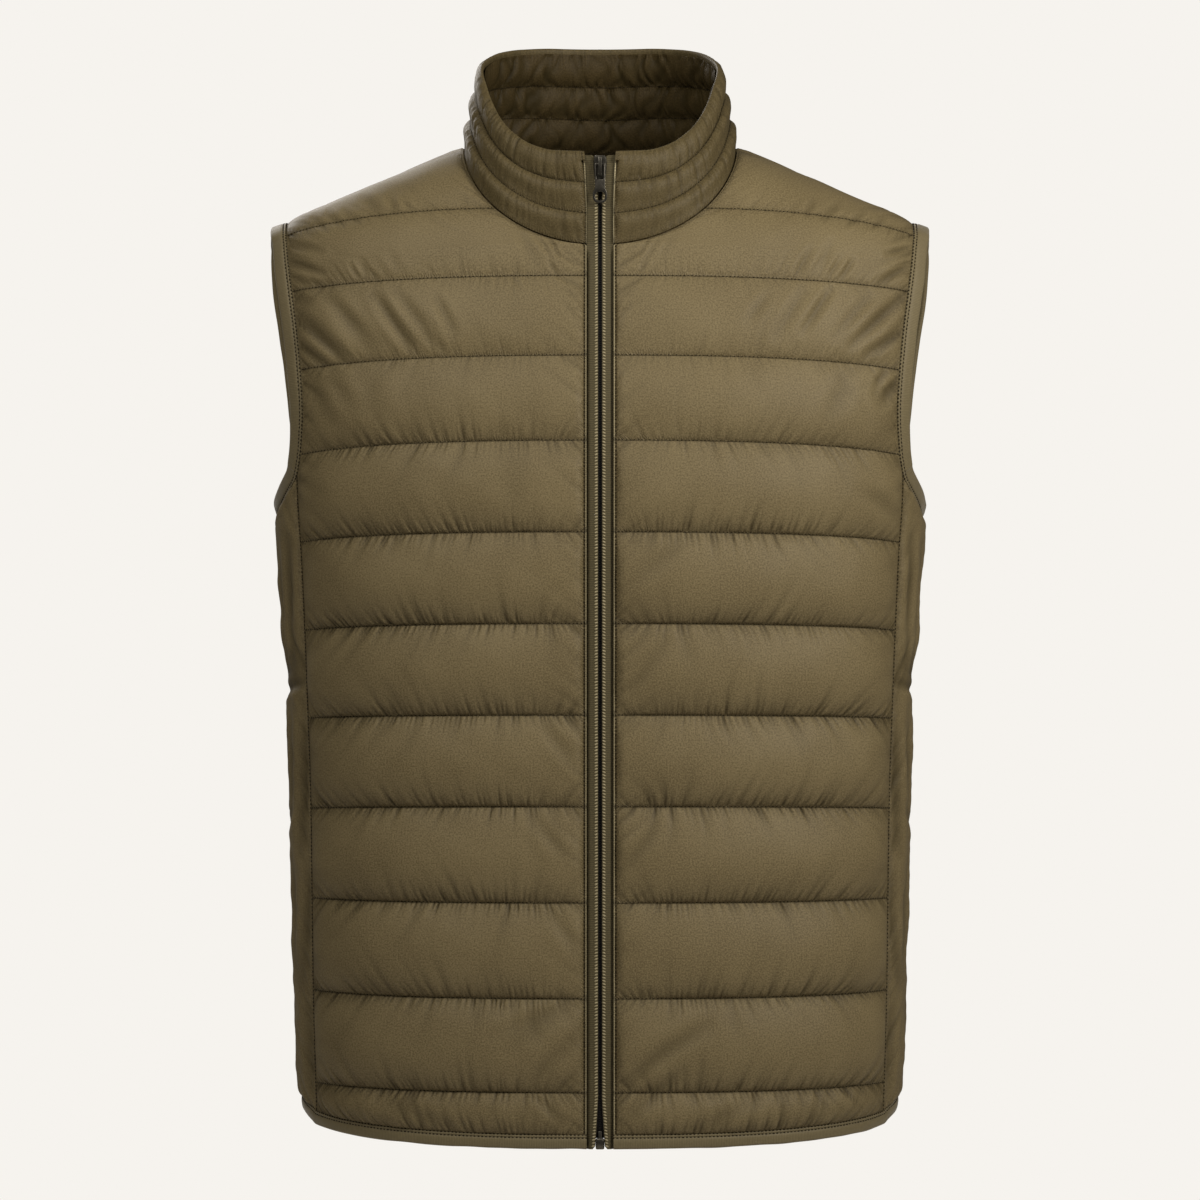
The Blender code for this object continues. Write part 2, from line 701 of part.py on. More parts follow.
def build_bindings(front, back, side, tape):
    edge = armhole_edge(front, back, side)
    in_front, behind = curve(ARMHOLE_FLARE, 0, 1)(edge[:, 2]), curve(ARMHOLE_FLARE, 0, 2)(edge[:, 2])
    flare = np.where(edge[:, 1] < 0, in_front, behind)
    stations = binding_stations(edge, edge.mean(0) - edge, ARMHOLE_BINDING_WIDTH, True, flare)
    swept_solid("armhole_binding_left", stations, tape, closed=True)
    other = [[p * (-1, 1, 1) for p in ring] for ring in stations]
    swept_solid("armhole_binding_right", other, tape, closed=True)
    left = [front[0, :-1], side[0, :-1]]
    right = [mirrored(side)[0, 1:], mirrored(front)[0, 1:]]
    loop = np.concatenate([*left, back[0, ::-1], *right])
    down = np.tile([0.0, 0.0, -1.0], (len(loop), 1))
    swept_solid("hem_binding", binding_stations(loop, down, HEM_BINDING_WIDTH, False), tape)


# ================================================================ collar
def collar_top_point(turn):
    """A point of the collar's rolled edge at an angle in radians from the centre front."""
    return np.array([
        COLLAR_HALF_WIDTH * math.sin(turn),
        COLLAR_DEPTH_CENTRE - COLLAR_HALF_DEPTH * math.cos(turn),
        float(collar_top_height(math.degrees(turn))),
    ])


def run_of(points):
    """Share of a curve's plan length reached at each of its points."""
    steps = np.linalg.norm(np.diff(points[:, :2], axis=0), axis=1)
    run = np.concatenate([[0.0], np.cumsum(steps)])
    return run / run[-1]


def collar_frames():
    """At each station from the left zip edge round the back to the right one: base, rise, out, height.

    The rolled edge is met at the same share of its length as the neck seam, so the collar isn't twisted.
    """
    fine = np.linspace(0, 180, 181)
    neck_run = run_of(np.array([neck_point(a) for a in fine]))
    top_run = run_of(np.array([collar_top_point(math.radians(a)) for a in fine]))
    angles = [*NECK_BELOW_LINE_11, *NECK_ABOVE_LINE_11, *NECK_BEHIND_SEAM]
    neck = np.array([neck_point(a) for a in angles])
    reached = np.interp(np.interp(angles, fine, neck_run), top_run, fine)
    top = np.array([collar_top_point(math.radians(a)) for a in reached])
    top[0, 0] = neck[0, 0] = ZIP_EDGE
    neck = np.concatenate([neck, neck[-2::-1] * (-1, 1, 1)])
    top = np.concatenate([top, top[-2::-1] * (-1, 1, 1)])
    rise = top - neck
    height = np.linalg.norm(rise, axis=1, keepdims=True)
    rise /= height
    out = np.cross(np.gradient((neck + top) / 2, axis=0), rise)
    out *= np.sign(out[:, :1] * neck[:, :1] + out[:, 1:2] * (neck[:, 1:2] - COLLAR_DEPTH_CENTRE))
    out /= np.linalg.norm(out, axis=1, keepdims=True)
    return neck, rise, out, height[:, 0]


def outer_collar_section(height):
    """Points of the outer collar as (height, distance out)."""
    line = height / COLLAR_CHANNELS
    points = [(0.0, 0.0)]
    for channel in range(COLLAR_CHANNELS - 1):
        for share in (0.25, 0.5, 0.75, 1.0):
            points.append((line * (channel + share), COLLAR_PUFF * channel_shape(share)))
    points += [(height * share, out) for share, out in COLLAR_ROLL]
    return points + [(height * 0.5, -WALL), (0.0, -WALL)]


def inner_collar_section(height):
    """Points of the inner collar, which puffs towards the neck, as (height, distance out)."""
    plain = -WALL - SEAM_GAP
    stitched = plain - 0.9
    top = height * COLLAR_INNER_TOP - 2 * SEAM_GAP
    line = top / COLLAR_CHANNELS
    points = [(0.0, stitched)]
    for channel in range(COLLAR_CHANNELS):
        for share in (0.25, 0.5, 0.75, 1.0):
            puff = COLLAR_INNER_PUFF * channel_shape(share)
            points.append((line * (channel + share), stitched - puff))
    return points + [(top, plain), (height * 0.5, plain), (0.0, plain)]


def build_collar(shell):
    neck, rise, out, height = collar_frames()
    for name, section in (("collar_outer", outer_collar_section), ("collar_inner", inner_collar_section)):
        stations = []
        last = len(neck) - 1
        for k in range(len(neck)):
            base = neck[k] + rise[k] * 2 * SEAM_GAP
            points = section(height[k] - 2 * SEAM_GAP)
            ring = [base + rise[k] * a + out[k] * b for a, b in points]
            if k in (0, last):
                side = 1 if k == 0 else -1
                for point, (a, _) in zip(ring, points):
                    point[0] = side * zip_side(a / height[k])
            stations.append(ring)
        swept_solid(name, stations, shell, end_outline=section(height[0]))


def zip_side(share):
    """From the centre front to a front's or collar's edge, at a share of the collar's height."""
    return ZIP_EDGE + COLLAR_FLARE * max(0.0, share) ** 2


# ================================================================ zip
def zip_path(step=14.0):
    """Down the centre front from the collar's top to the hem: points, outward normals, collar share."""
    neck = neck_point(0.0)
    top = collar_top_point(0.0)
    top = top + (neck - top) / np.linalg.norm(neck - top) * ZIP_TOP_DROP
    count = int(np.ceil((neck[2] - ZIP_BOTTOM) / step)) + 1
    heights = np.linspace(neck[2], ZIP_BOTTOM, count)
    body = np.column_stack([np.zeros(count), torso_y(np.zeros(count), heights, -1), heights])
    shares = np.linspace(0, 1, 7)[:-1, None]
    path = np.concatenate([top + (neck - top) * shares, body])
    along = np.gradient(path, axis=0)
    normal = np.cross(along, (1.0, 0.0, 0.0))
    normal /= np.linalg.norm(normal, axis=1, keepdims=True)
    normal *= -np.sign(normal[:, 1:2])
    return path, normal, np.concatenate([1 - shares[:, 0], np.zeros(count)])


def on_zip(path, normal, height):
    """The point and normal of the zip's line at a height."""
    order = np.argsort(path[:, 2])
    point = np.array([np.interp(height, path[order, 2], path[order, k]) for k in range(3)])
    face = np.array([np.interp(height, path[order, 2], normal[order, k]) for k in range(3)])
    return point, face / np.linalg.norm(face)


def tape_inner_x(height):
    """The tape's edge at the chain; it gives way to the box below and to the slider's mouth above."""
    below = np.clip(1 - (height - ZIP_BOTTOM) / BOX_SPREAD, 0, 1)
    above = np.clip((height - SLIDER_TOP + 6) / 8, 0, 1)
    return CHAIN_HALF_WIDTH + SEAM_GAP + (BOX_HALF_WIDTH - CHAIN_HALF_WIDTH) * below + 2.0 * above


def build_zip(tape, black, metal):
    path, normal, shares = zip_path()
    back = TAPE_FACE - TAPE_THICKNESS
    tapes = []
    for point, face, share in zip(path, normal, shares):
        inner, outer = tape_inner_x(point[2]), zip_side(share) - 1.5 * SEAM_GAP
        corners = ((outer, TAPE_FACE), (inner, TAPE_FACE), (inner, back), (outer, back))
        tapes.append([point + (x, 0, 0) + face * depth for x, depth in corners])
    swept_solid("zip_tape_left", tapes, tape)
    swept_solid("zip_tape_right", [[p * (-1, 1, 1) for p in ring] for ring in tapes], tape)

    chain_top = SLIDER_TOP - SLIDER_LENGTH * 0.55
    chain_bottom = ZIP_BOTTOM + BOX_HEIGHT + BOX_PIN_HEIGHT + SEAM_GAP
    heights = [chain_top, *[p[2] for p in path if chain_bottom + 4 < p[2] < chain_top - 4], chain_bottom]
    half, low = CHAIN_HALF_WIDTH, CHAIN_FACE - CHAIN_THICKNESS
    chain = []
    for height in heights:
        point, face = on_zip(path, normal, height)
        corners = ((half, CHAIN_FACE), (-half, CHAIN_FACE), (-half, low), (half, low))
        chain.append([point + (x, 0, 0) + face * depth for x, depth in corners])
    swept_solid("zip_chain", chain, black)
    build_box(path, normal, metal)
    build_slider(path, normal, metal)


def build_box(path, normal, metal):
    """The retainer box that holds both tapes' ends at the hem, and the pin that stands out of it."""
    half, front, back, chamfer = BOX_HALF_WIDTH - SEAM_GAP, 0.9, -3.3, 0.6
    corners = (
        (half - chamfer, front),
        (chamfer - half, front),
        (-half, front - chamfer),
        (-half, back + chamfer),
        (chamfer - half, back),
        (half - chamfer, back),
        (half, back + chamfer),
        (half, front - chamfer),
    )
    middle = (front + back) / 2
    pin_top = BOX_HEIGHT + BOX_PIN_HEIGHT
    box_sizes = ((0.0, 0.82), (0.7, 1.0), (BOX_HEIGHT - 1.0, 1.0), (BOX_HEIGHT - 0.05, 0.78))
    pin_sizes = ((BOX_HEIGHT, 0.42), (pin_top - 0.5, 0.42), (pin_top, 0.3))
    stations = []
    for above, size in (*box_sizes, *pin_sizes):
        point, face = on_zip(path, normal, ZIP_BOTTOM + above)
        ring = [point + (x * size, 0, 0) + face * (middle + (d - middle) * size) for x, d in corners]
        stations.append(ring)
    swept_solid("zip_box", stations, metal)


def slider_block(name, origin, up, out, half, span, depth, metal):
    """A block of the slider: its half width, its span below the top and its depth out of the face."""
    stations = []
    for below in span:
        corners = ((half, depth[0]), (half, depth[1]), (-half, depth[1]), (-half, depth[0]))
        stations.append([origin + (x, 0, 0) - up * below + out * d for x, d in corners])
    return swept_solid(name, stations, metal)


def slider_plate(name, origin, up, out, inner, face, metal):
    """A slider plate from its inner to its outer face, the outer edges bevelled."""
    bevel = 0.5
    shoulder = face - math.copysign(bevel, face - inner)
    stations = []
    for share, breadth in SLIDER_PLATE:
        x = SLIDER_HALF_WIDTH * breadth
        ring = ((x, inner), (x, shoulder), (x - bevel, face), (bevel - x, face), (-x, shoulder), (-x, inner))
        stations.append([origin + (u, 0, 0) - up * SLIDER_LENGTH * share + out * d for u, d in ring])
    return swept_solid(name, stations, metal)


def build_slider(path, normal, metal):
    """Front and back plates joined by a post between the tapes, with a bridge for the pull tab."""
    origin, _ = on_zip(path, normal, SLIDER_TOP)
    low, _ = on_zip(path, normal, SLIDER_TOP - SLIDER_LENGTH)
    up = (origin - low) / np.linalg.norm(origin - low)
    out = np.array([0.0, -up[2], up[1]])
    frame = (origin, up, out)
    front = FRONT_PLATE_FACE
    plate_back = BACK_PLATE_FACE - PLATE_THICKNESS
    arch = (BRIDGE_UNDERSIDE, BRIDGE_UNDERSIDE + 1.1)
    leg = (front - 0.4, BRIDGE_UNDERSIDE + 0.5)
    pieces = [
        slider_plate("plate_front", *frame, front - PLATE_THICKNESS, front, metal),
        slider_plate("plate_back", *frame, BACK_PLATE_FACE, plate_back, metal),
        slider_block("post", *frame, 1.3, (0.8, 5.2), (BACK_PLATE_FACE - 0.4, front - 0.9), metal),
        slider_block("upper_leg", *frame, BRIDGE_HALF_WIDTH, (1.0, 2.8), leg, metal),
        slider_block("lower_leg", *frame, BRIDGE_HALF_WIDTH, (11.4, 13.2), leg, metal),
        slider_block("arch", *frame, BRIDGE_HALF_WIDTH - 0.1, (1.4, 12.8), arch, metal),
    ]
    fuse("zip_slider", pieces, metal)
    build_pull(origin - up * PULL_AXIS_BELOW_TOP + out * PULL_AXIS_OUT, up, out, metal)


def fuse(name, pieces, material):
    """One object that is the Boolean union of the pieces."""
    base = pieces[0]
    for other in pieces[1:]:
        union = base.modifiers.new("union", "BOOLEAN")
        union.operation = "UNION"
        union.solver = "EXACT"
        union.object = other
    mesh = bpy.data.meshes.new_from_object(base.evaluated_get(bpy.context.evaluated_depsgraph_get()))
    for piece in pieces:
        bpy.data.objects.remove(piece)
    mesh.name = name
    mesh.materials.clear()
    mesh.materials.append(material)
    shape = bpy.data.objects.new(name, mesh)
    bpy.context.scene.collection.objects.link(shape)


def rounded(half_x, low, high, radius, steps=3):
    """A rounded rectangle's outline, anticlockwise from its right side's top."""
    centres = ((1, 1), (-1, 1), (-1, -1), (1, -1))
    points = []
    for quarter, (side, end) in enumerate(centres):
        centre = (side * (half_x - radius), high - radius if end > 0 else low + radius)
        for step in range(steps + 1):
            turn = math.pi / 2 * (quarter + step / steps)
            points.append((centre[0] + radius * math.cos(turn), centre[1] + radius * math.sin(turn)))
    return points


def build_pull(axis_point, up, out, metal):
    """The pull tab: its crossbar turns under the bridge, and its lower end widens to a ring."""
    bar = 0.62
    flare = -PULL_LENGTH + 9.5
    half, ring = PULL_HALF_WIDTH, PULL_RING_HALF_WIDTH
    ring_outline = rounded(ring, -PULL_LENGTH, -PULL_LENGTH + 9.0, 3.6, 5)
    lower_half = [point for point in ring_outline if point[1] < -PULL_LENGTH + 4]
    outline = [(half, bar - 0.3), (half - 0.5, bar), (0.5 - half, bar), (-half, bar - 0.3), (-half, flare)]
    outline += [(-ring, flare - 3.0), *lower_half, (ring, flare - 3.0), (half, flare)]
    window = rounded(PULL_HALF_WIDTH - 1.0, -9.8, -bar, 0.7, 2)
    hole = rounded(3.1, -PULL_LENGTH + 1.5, -PULL_LENGTH + 7.2, 2.2, 3)

    def place(across, along, forward):
        return axis_point + np.array([across, 0, 0]) + up * along + out * forward

    pierced_plate("zip_pull", (outline, window, hole), PULL_THICKNESS, place, axis_point, metal)


def main():
    for old in list(bpy.data.objects):
        bpy.data.objects.remove(old)
    shell = make_material("quilted shell", SHELL_OLIVE, 0.55)
    binding = make_material("binding tape", TAPE_OLIVE, 0.7)
    zip_tape = make_material("zip tape", ZIP_BROWN, 0.8)
    zip_black = make_material("zip chain", ZIP_BLACK, 0.5)
    gunmetal = make_material("gunmetal", GUNMETAL, 0.35, 1.0)
    front, back, side = build_panels(shell)
    build_bindings(front, back, side, binding)
    build_collar(shell)
    build_zip(zip_tape, zip_black, gunmetal)


main()
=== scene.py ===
# %% [markdown]
# # A puffer vest, from its worn form to its last stitch
# A puffer vest is two layers of thin nylon with wadding between them, sewn together in rows. Each row
# of stitches pulls the layers flat, and the wadding swells between the rows into a channel. The thread
# also shortens the cloth, so the cloth gathers into small puckers that run off every row of stitches.
# This lesson dresses the vest's solids. It builds each cloth piece again as a fine mesh on the same
# form, adds channels, puckers and folds in its points, and then makes the binding, the zip and the
# thread. Lengths in the script are millimetres until a mesh is made.

# %% Load the solids
import math

import bmesh
import bpy
import numpy as np
from mathutils.geometry import tessellate_polygon
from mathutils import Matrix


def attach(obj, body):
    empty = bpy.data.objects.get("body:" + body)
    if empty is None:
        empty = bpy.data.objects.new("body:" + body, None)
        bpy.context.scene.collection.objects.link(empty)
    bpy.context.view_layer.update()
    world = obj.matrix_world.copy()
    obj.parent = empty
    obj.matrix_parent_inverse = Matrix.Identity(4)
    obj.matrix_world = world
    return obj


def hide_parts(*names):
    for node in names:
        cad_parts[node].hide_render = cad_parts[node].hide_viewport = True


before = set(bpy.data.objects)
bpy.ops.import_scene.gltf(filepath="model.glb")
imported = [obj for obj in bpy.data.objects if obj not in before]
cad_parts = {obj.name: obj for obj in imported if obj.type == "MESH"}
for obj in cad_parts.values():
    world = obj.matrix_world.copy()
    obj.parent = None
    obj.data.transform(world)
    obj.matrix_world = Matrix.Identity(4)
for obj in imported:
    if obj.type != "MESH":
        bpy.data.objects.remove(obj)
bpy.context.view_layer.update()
METRES = 0.001


def add_object(name, data):
    """An object that shows a mesh, a camera or a light."""
    made = bpy.data.objects.new(name, data)
    bpy.context.scene.collection.objects.link(made)
    return made


# %% [markdown]
# ## Camera
# The vest is seen from straight ahead, level with its middle and from far away, so its sides hardly
# converge. A camera 3 m away whose view is 0.804 m wide at the shoulders does that. The lens follows
# from those two lengths and the sensor's width.

# %% Camera
CAMERA_DISTANCE = 3.0
CAMERA_HEIGHT = -0.303
VIEW_WIDTH = 0.804

camera_data = bpy.data.cameras.new("studio camera")
camera_data.sensor_width = 36.0
camera_data.lens = camera_data.sensor_width * CAMERA_DISTANCE / VIEW_WIDTH
camera = add_object("studio camera", camera_data)
camera.location = (0.0, -CAMERA_DISTANCE, CAMERA_HEIGHT)
camera.rotation_euler = (math.radians(90), 0.0, 0.0)
bpy.context.scene.camera = camera
print("lens", round(camera_data.lens, 1), "mm")

# %% [markdown]
# ## The worn form
# The wearer's body isn't modelled, but the cloth hangs as if it were there. One rounded oval for each
# height gives the whole surface: its half width, its depth in front and behind, and one exponent that
# squares the oval a little. Smooth curves run through the table, so the surface can be asked for as many
# points as a fine mesh needs.

# %% Sizes of the worn form
SQUARENESS = 2.4
TORSO = (  # height, half_width, front_depth, back_depth
    (14, 74, 36, 66),
    (0, 90, 52, 80),
    (-14, 122, 68, 92),
    (-31, 159, 82, 101),
    (-45.5, 192, 90, 107),
    (-52, 209, 94, 109),
    (-63, 225, 98, 113),
    (-80, 232, 103, 116),
    (-100, 235, 109, 119),
    (-150, 232, 118, 121),
    (-200, 223, 123, 118),
    (-250, 214, 124, 113),
    (-300, 210, 122, 108),
    (-350, 206, 119, 103),
    (-400, 204.5, 117, 101),
    (-450, 203.5, 116.5, 101),
    (-500, 202.3, 117, 103),
    (-560, 200.7, 118, 106),
    (-620, 199, 119, 108),
    (-670, 197, 119, 109),
)
SHOULDER_TIP_X = 209.0
SEAM_FORWARD_AT_TIP = 4.0
NECK_HALF_WIDTH = 90.5
NECK_FRONT_DROP = 73.0
NECK_BACK_DEPTH = 76.0
NECK_ROUNDNESS_BEHIND = 2.1
SHOULDER_SEAM_BEND = 0.7  # exponent of the seam's way forward from the neck to the tip
BELOW_SHOULDERS = -150.0  # a height that no shoulder reaches down to
HALVINGS = 40
NORMAL_NUDGE = 1.5  # step over which the surface's slope is taken


def curve(table, across=0, up=1):
    """A monotone cubic through two columns of a table, as a function that takes an array."""
    rows = sorted((row[across], row[up]) for row in table)
    xs = np.array([r[0] for r in rows], float)
    ys = np.array([r[1] for r in rows], float)
    steps = np.diff(xs)
    slopes = np.diff(ys) / steps
    tangents = np.empty_like(xs)
    tangents[0], tangents[-1] = slopes[0], slopes[-1]
    before, after = slopes[:-1], slopes[1:]
    same_way = before * after > 0
    safe = np.where(same_way, before + after, 1.0)
    tangents[1:-1] = np.where(same_way, 2 * before * after / safe, 0.0)

    def value(x):
        x = np.clip(np.asarray(x, float), xs[0], xs[-1])
        i = np.clip(np.searchsorted(xs, x) - 1, 0, len(steps) - 1)
        t = (x - xs[i]) / steps[i]
        rise = (3 - 2 * t) * t * t
        lead_in = t * (1 - t) ** 2 * steps[i] * tangents[i]
        lead_out = t * t * (t - 1) * steps[i] * tangents[i + 1]
        return ys[i] + (ys[i + 1] - ys[i]) * rise + lead_in + lead_out

    return value


half_width, front_depth, back_depth = (curve(TORSO, 0, column) for column in (1, 2, 3))


# %% Functions of the worn form
def girth(points):
    """1 on the torso's surface, less inside it and more outside it."""
    x, y, z = points[..., 0], points[..., 1], points[..., 2]
    depth = np.where(y < 0, front_depth(z), back_depth(z))
    return (np.abs(x) / half_width(z)) ** SQUARENESS + (np.abs(y) / depth) ** SQUARENESS


def torso_y(x, z, face):
    """Where the front (face -1) or the back (face 1) lies at that x and height."""
    depth = front_depth(z) if face < 0 else back_depth(z)
    share = np.clip(np.abs(x) / half_width(z), 0, 1) ** SQUARENESS
    return face * depth * (1 - share) ** (1 / SQUARENESS)


def torso_x(y, z):
    """Where the wearer's left side lies at that depth and height."""
    depth = np.where(np.asarray(y) < 0, front_depth(z), back_depth(z))
    share = np.clip(np.abs(y) / depth, 0, 1) ** SQUARENESS
    return half_width(z) * (1 - share) ** (1 / SQUARENESS)


def torso_z(x, y):
    """The height of the shoulders' surface above a point of the plan, by halving."""
    x, y = np.broadcast_arrays(np.asarray(x, float), np.asarray(y, float))
    low, high = np.full(x.shape, BELOW_SHOULDERS), np.full(x.shape, float(TORSO[0][0]))
    for _ in range(HALVINGS):
        middle = (low + high) / 2
        outside = girth(np.stack([x, y, middle], -1)) > 1
        high = np.where(outside, middle, high)
        low = np.where(outside, low, middle)
    return (low + high) / 2


def unit(vectors):
    """The same directions with a length of 1."""
    return vectors / np.linalg.norm(vectors, axis=-1, keepdims=True)


def torso_normal(points):
    """The outward unit normal of the torso's surface at each point."""
    gradient = np.empty_like(points)
    for axis in range(3):
        step = np.zeros(3)
        step[axis] = NORMAL_NUDGE
        gradient[..., axis] = girth(points + step) - girth(points - step)
    return unit(gradient)


def neck_points(angles):
    """Points of the neck seam on the wearer's left, at angles from the centre front."""
    turn = np.radians(np.asarray(angles, float))
    x = NECK_HALF_WIDTH * np.sin(turn)
    front_z = -NECK_FRONT_DROP * np.cos(turn)
    share = np.clip(x / NECK_HALF_WIDTH, 0, 1) ** NECK_ROUNDNESS_BEHIND
    back_y = NECK_BACK_DEPTH * (1 - share) ** (1 / NECK_ROUNDNESS_BEHIND)
    in_front = turn < math.pi / 2
    y = np.where(in_front, torso_y(x, front_z, -1), back_y)
    return np.stack([x, y, np.where(in_front, front_z, torso_z(x, back_y))], -1)


def shoulder_seam(shares, neck_angle):
    """Points of the shoulder seam from the neck seam to the armhole, over the ridge's front slope."""
    start = neck_points(neck_angle)
    shares = np.asarray(shares, float)
    x = start[0] + (SHOULDER_TIP_X - start[0]) * shares
    y = start[1] + (-SEAM_FORWARD_AT_TIP - start[1]) * shares**SHOULDER_SEAM_BEND
    return np.column_stack([x, y, torso_z(x, y)])


print("chest half width", float(half_width(-100)), "mm, neck seam in front at", neck_points(0.0).round(1))

# %% [markdown]
# ## Finishes
# Every material starts from what the real one is. Colours are written as the hex values that a paint
# program shows, and one function turns them into the linear light that Blender adds up. One more
# function adds a node with its settings and its links, so each material below reads like a short recipe.


# %% Helpers for materials
def linear(hex_colour):
    """An sRGB hex colour as linear red, green, blue and alpha."""
    parts = [int(hex_colour[i : i + 2], 16) / 255 for i in (0, 2, 4)]
    return (*[p / 12.92 if p <= 0.04045 else ((p + 0.055) / 1.055) ** 2.4 for p in parts], 1.0)


def add_node(tree, kind, links=None, **settings):
    """Adds a node; each link is a socket's name or number, with a value or an (output node, socket)."""
    node = tree.nodes.new(kind)
    for key, value in settings.items():
        setattr(node, key, value)
    for key, value in (links or {}).items():
        if isinstance(value, tuple) and isinstance(value[0], bpy.types.Node):
            tree.links.new(value[0].outputs[value[1]], node.inputs[key])
        else:
            node.inputs[key].default_value = value
    return node


def new_finish(name, settings):
    """A material with settings on its shader's own sockets; returns it, its tree and its shader."""
    material = bpy.data.materials.new(name)
    material.use_nodes = True
    shader = material.node_tree.nodes["Principled BSDF"]
    for socket, value in settings.items():
        shader.inputs[socket].default_value = value
    return material, material.node_tree, shader


# %% [markdown]
# ### Shell cloth: downproof nylon taffeta
# The shell is a very thin plain weave of nylon, pressed between hot rollers so that no wadding works
# through. Pressing gives it a low satin gloss and leaves a fine grain. The real threads are 0.1 mm apart,
# far finer than the picture can show, so the grain is drawn about ten times coarser. Small puckers beside
# the stitches, closer together than the mesh has points, are drawn as bump from two attributes that say
# how far along and away from the nearest stitch line and the nearest upright seam each point lies. A
# third attribute says how deep in a crease a point lies. Real creases are sharper than the mesh and hold
# more shade, so the cloth's colour darkens in them. The collar's two layers take darker copies of this
# cloth as painted shade, the inner one darkest, and a painted highlight lies along each folded edge.

# %% Sizes and colours of the shell cloth
SHELL_DARK, SHELL_LIGHT = "5d5137", "786b4c"
# painted shade: the lining's colours are the shell's, much darker deep inside the collar
LINING_SHADE_DARK, LINING_SHADE_LIGHT = "342a15", "493d24"
# painted shade: the outer collar's colours are the shell's, a little darker
COLLAR_SHADE_DARK, COLLAR_SHADE_LIGHT = "493f26", "5f5337"
# painted shade in creases, and a painted highlight along the crest of a folded edge
CREASE_SHADE, FOLD_HIGHLIGHT = "2f2713", "b3a886"
SHELL_SHINE, LINING_SHINE = 0.2, 0.12
SHELL_ROUGHNESS, NYLON_IOR = 0.58, 1.5
CREASE_STRENGTH = 0.9  # share of the shade that a modelled crease takes
DRAWN_CREASE_STRENGTH = 0.3  # the same for a pucker that is drawn as bump
GRAIN_SIZE, GRAIN_DEPTH, GRAIN_SHARE = 0.0011, 0.00018, 1.6
PATCH_SIZE, PATCH_SHARE = 0.045, 0.3
ALL_DARK, ALL_LIGHT = 0.72, 1.18  # sums of both shares where the cloth has its darker and lighter colour
PUCKER_PITCH, PUCKER_DEPTH, PUCKER_REACH = 0.0016, 0.00025, 0.005
BAND_LENGTH = 0.314  # of a wave texture's bands at scale 1
REACH_VARIES = (170.0, 60.0, 0.0)  # how fast the puckers' reach changes along and away from the seam


# %% Drawn puckers
def add_puckers(tree, attribute_name):
    """Fine gathers off one kind of seam: their height, and how much they count at each point."""
    seam = add_node(tree, "ShaderNodeAttribute", attribute_name=attribute_name)
    parts = add_node(tree, "ShaderNodeSeparateXYZ", {"Vector": (seam, "Vector")})
    waves = add_node(tree, "ShaderNodeTexWave", {
        "Vector": (seam, "Vector"), "Scale": BAND_LENGTH / PUCKER_PITCH, "Distortion": 7.0, "Detail": 1.0,
        "Detail Scale": 1.1, "Detail Roughness": 0.6}, bands_direction="X", wave_profile="SIN")
    stretch = add_node(tree, "ShaderNodeMapping", {"Vector": (seam, "Vector"), "Scale": REACH_VARIES})
    lengths = add_node(tree, "ShaderNodeTexNoise", {
        "Vector": (stretch, "Vector"), "Scale": 1.0, "Detail": 1.0}, noise_dimensions="2D")
    reach = add_node(tree, "ShaderNodeMapRange", {
        "Value": (lengths, "Fac"), "From Min": 0.3, "From Max": 0.7, "To Min": 0.25 * PUCKER_REACH,
        "To Max": 1.4 * PUCKER_REACH})
    near = add_node(tree, "ShaderNodeMapRange", {
        "Value": (parts, "Y"), "From Min": 0.0, "From Max": (reach, "Result"), "To Min": 1.0,
        "To Max": 0.0}, interpolation_type="SMOOTHSTEP")
    height = add_node(tree, "ShaderNodeMath", {
        0: (waves, "Fac"), 1: (near, "Result")}, operation="MULTIPLY")
    hollow = add_node(tree, "ShaderNodeMath", {
        0: (near, "Result"), 1: (height, "Value")}, operation="SUBTRACT")
    return parts, height, hollow


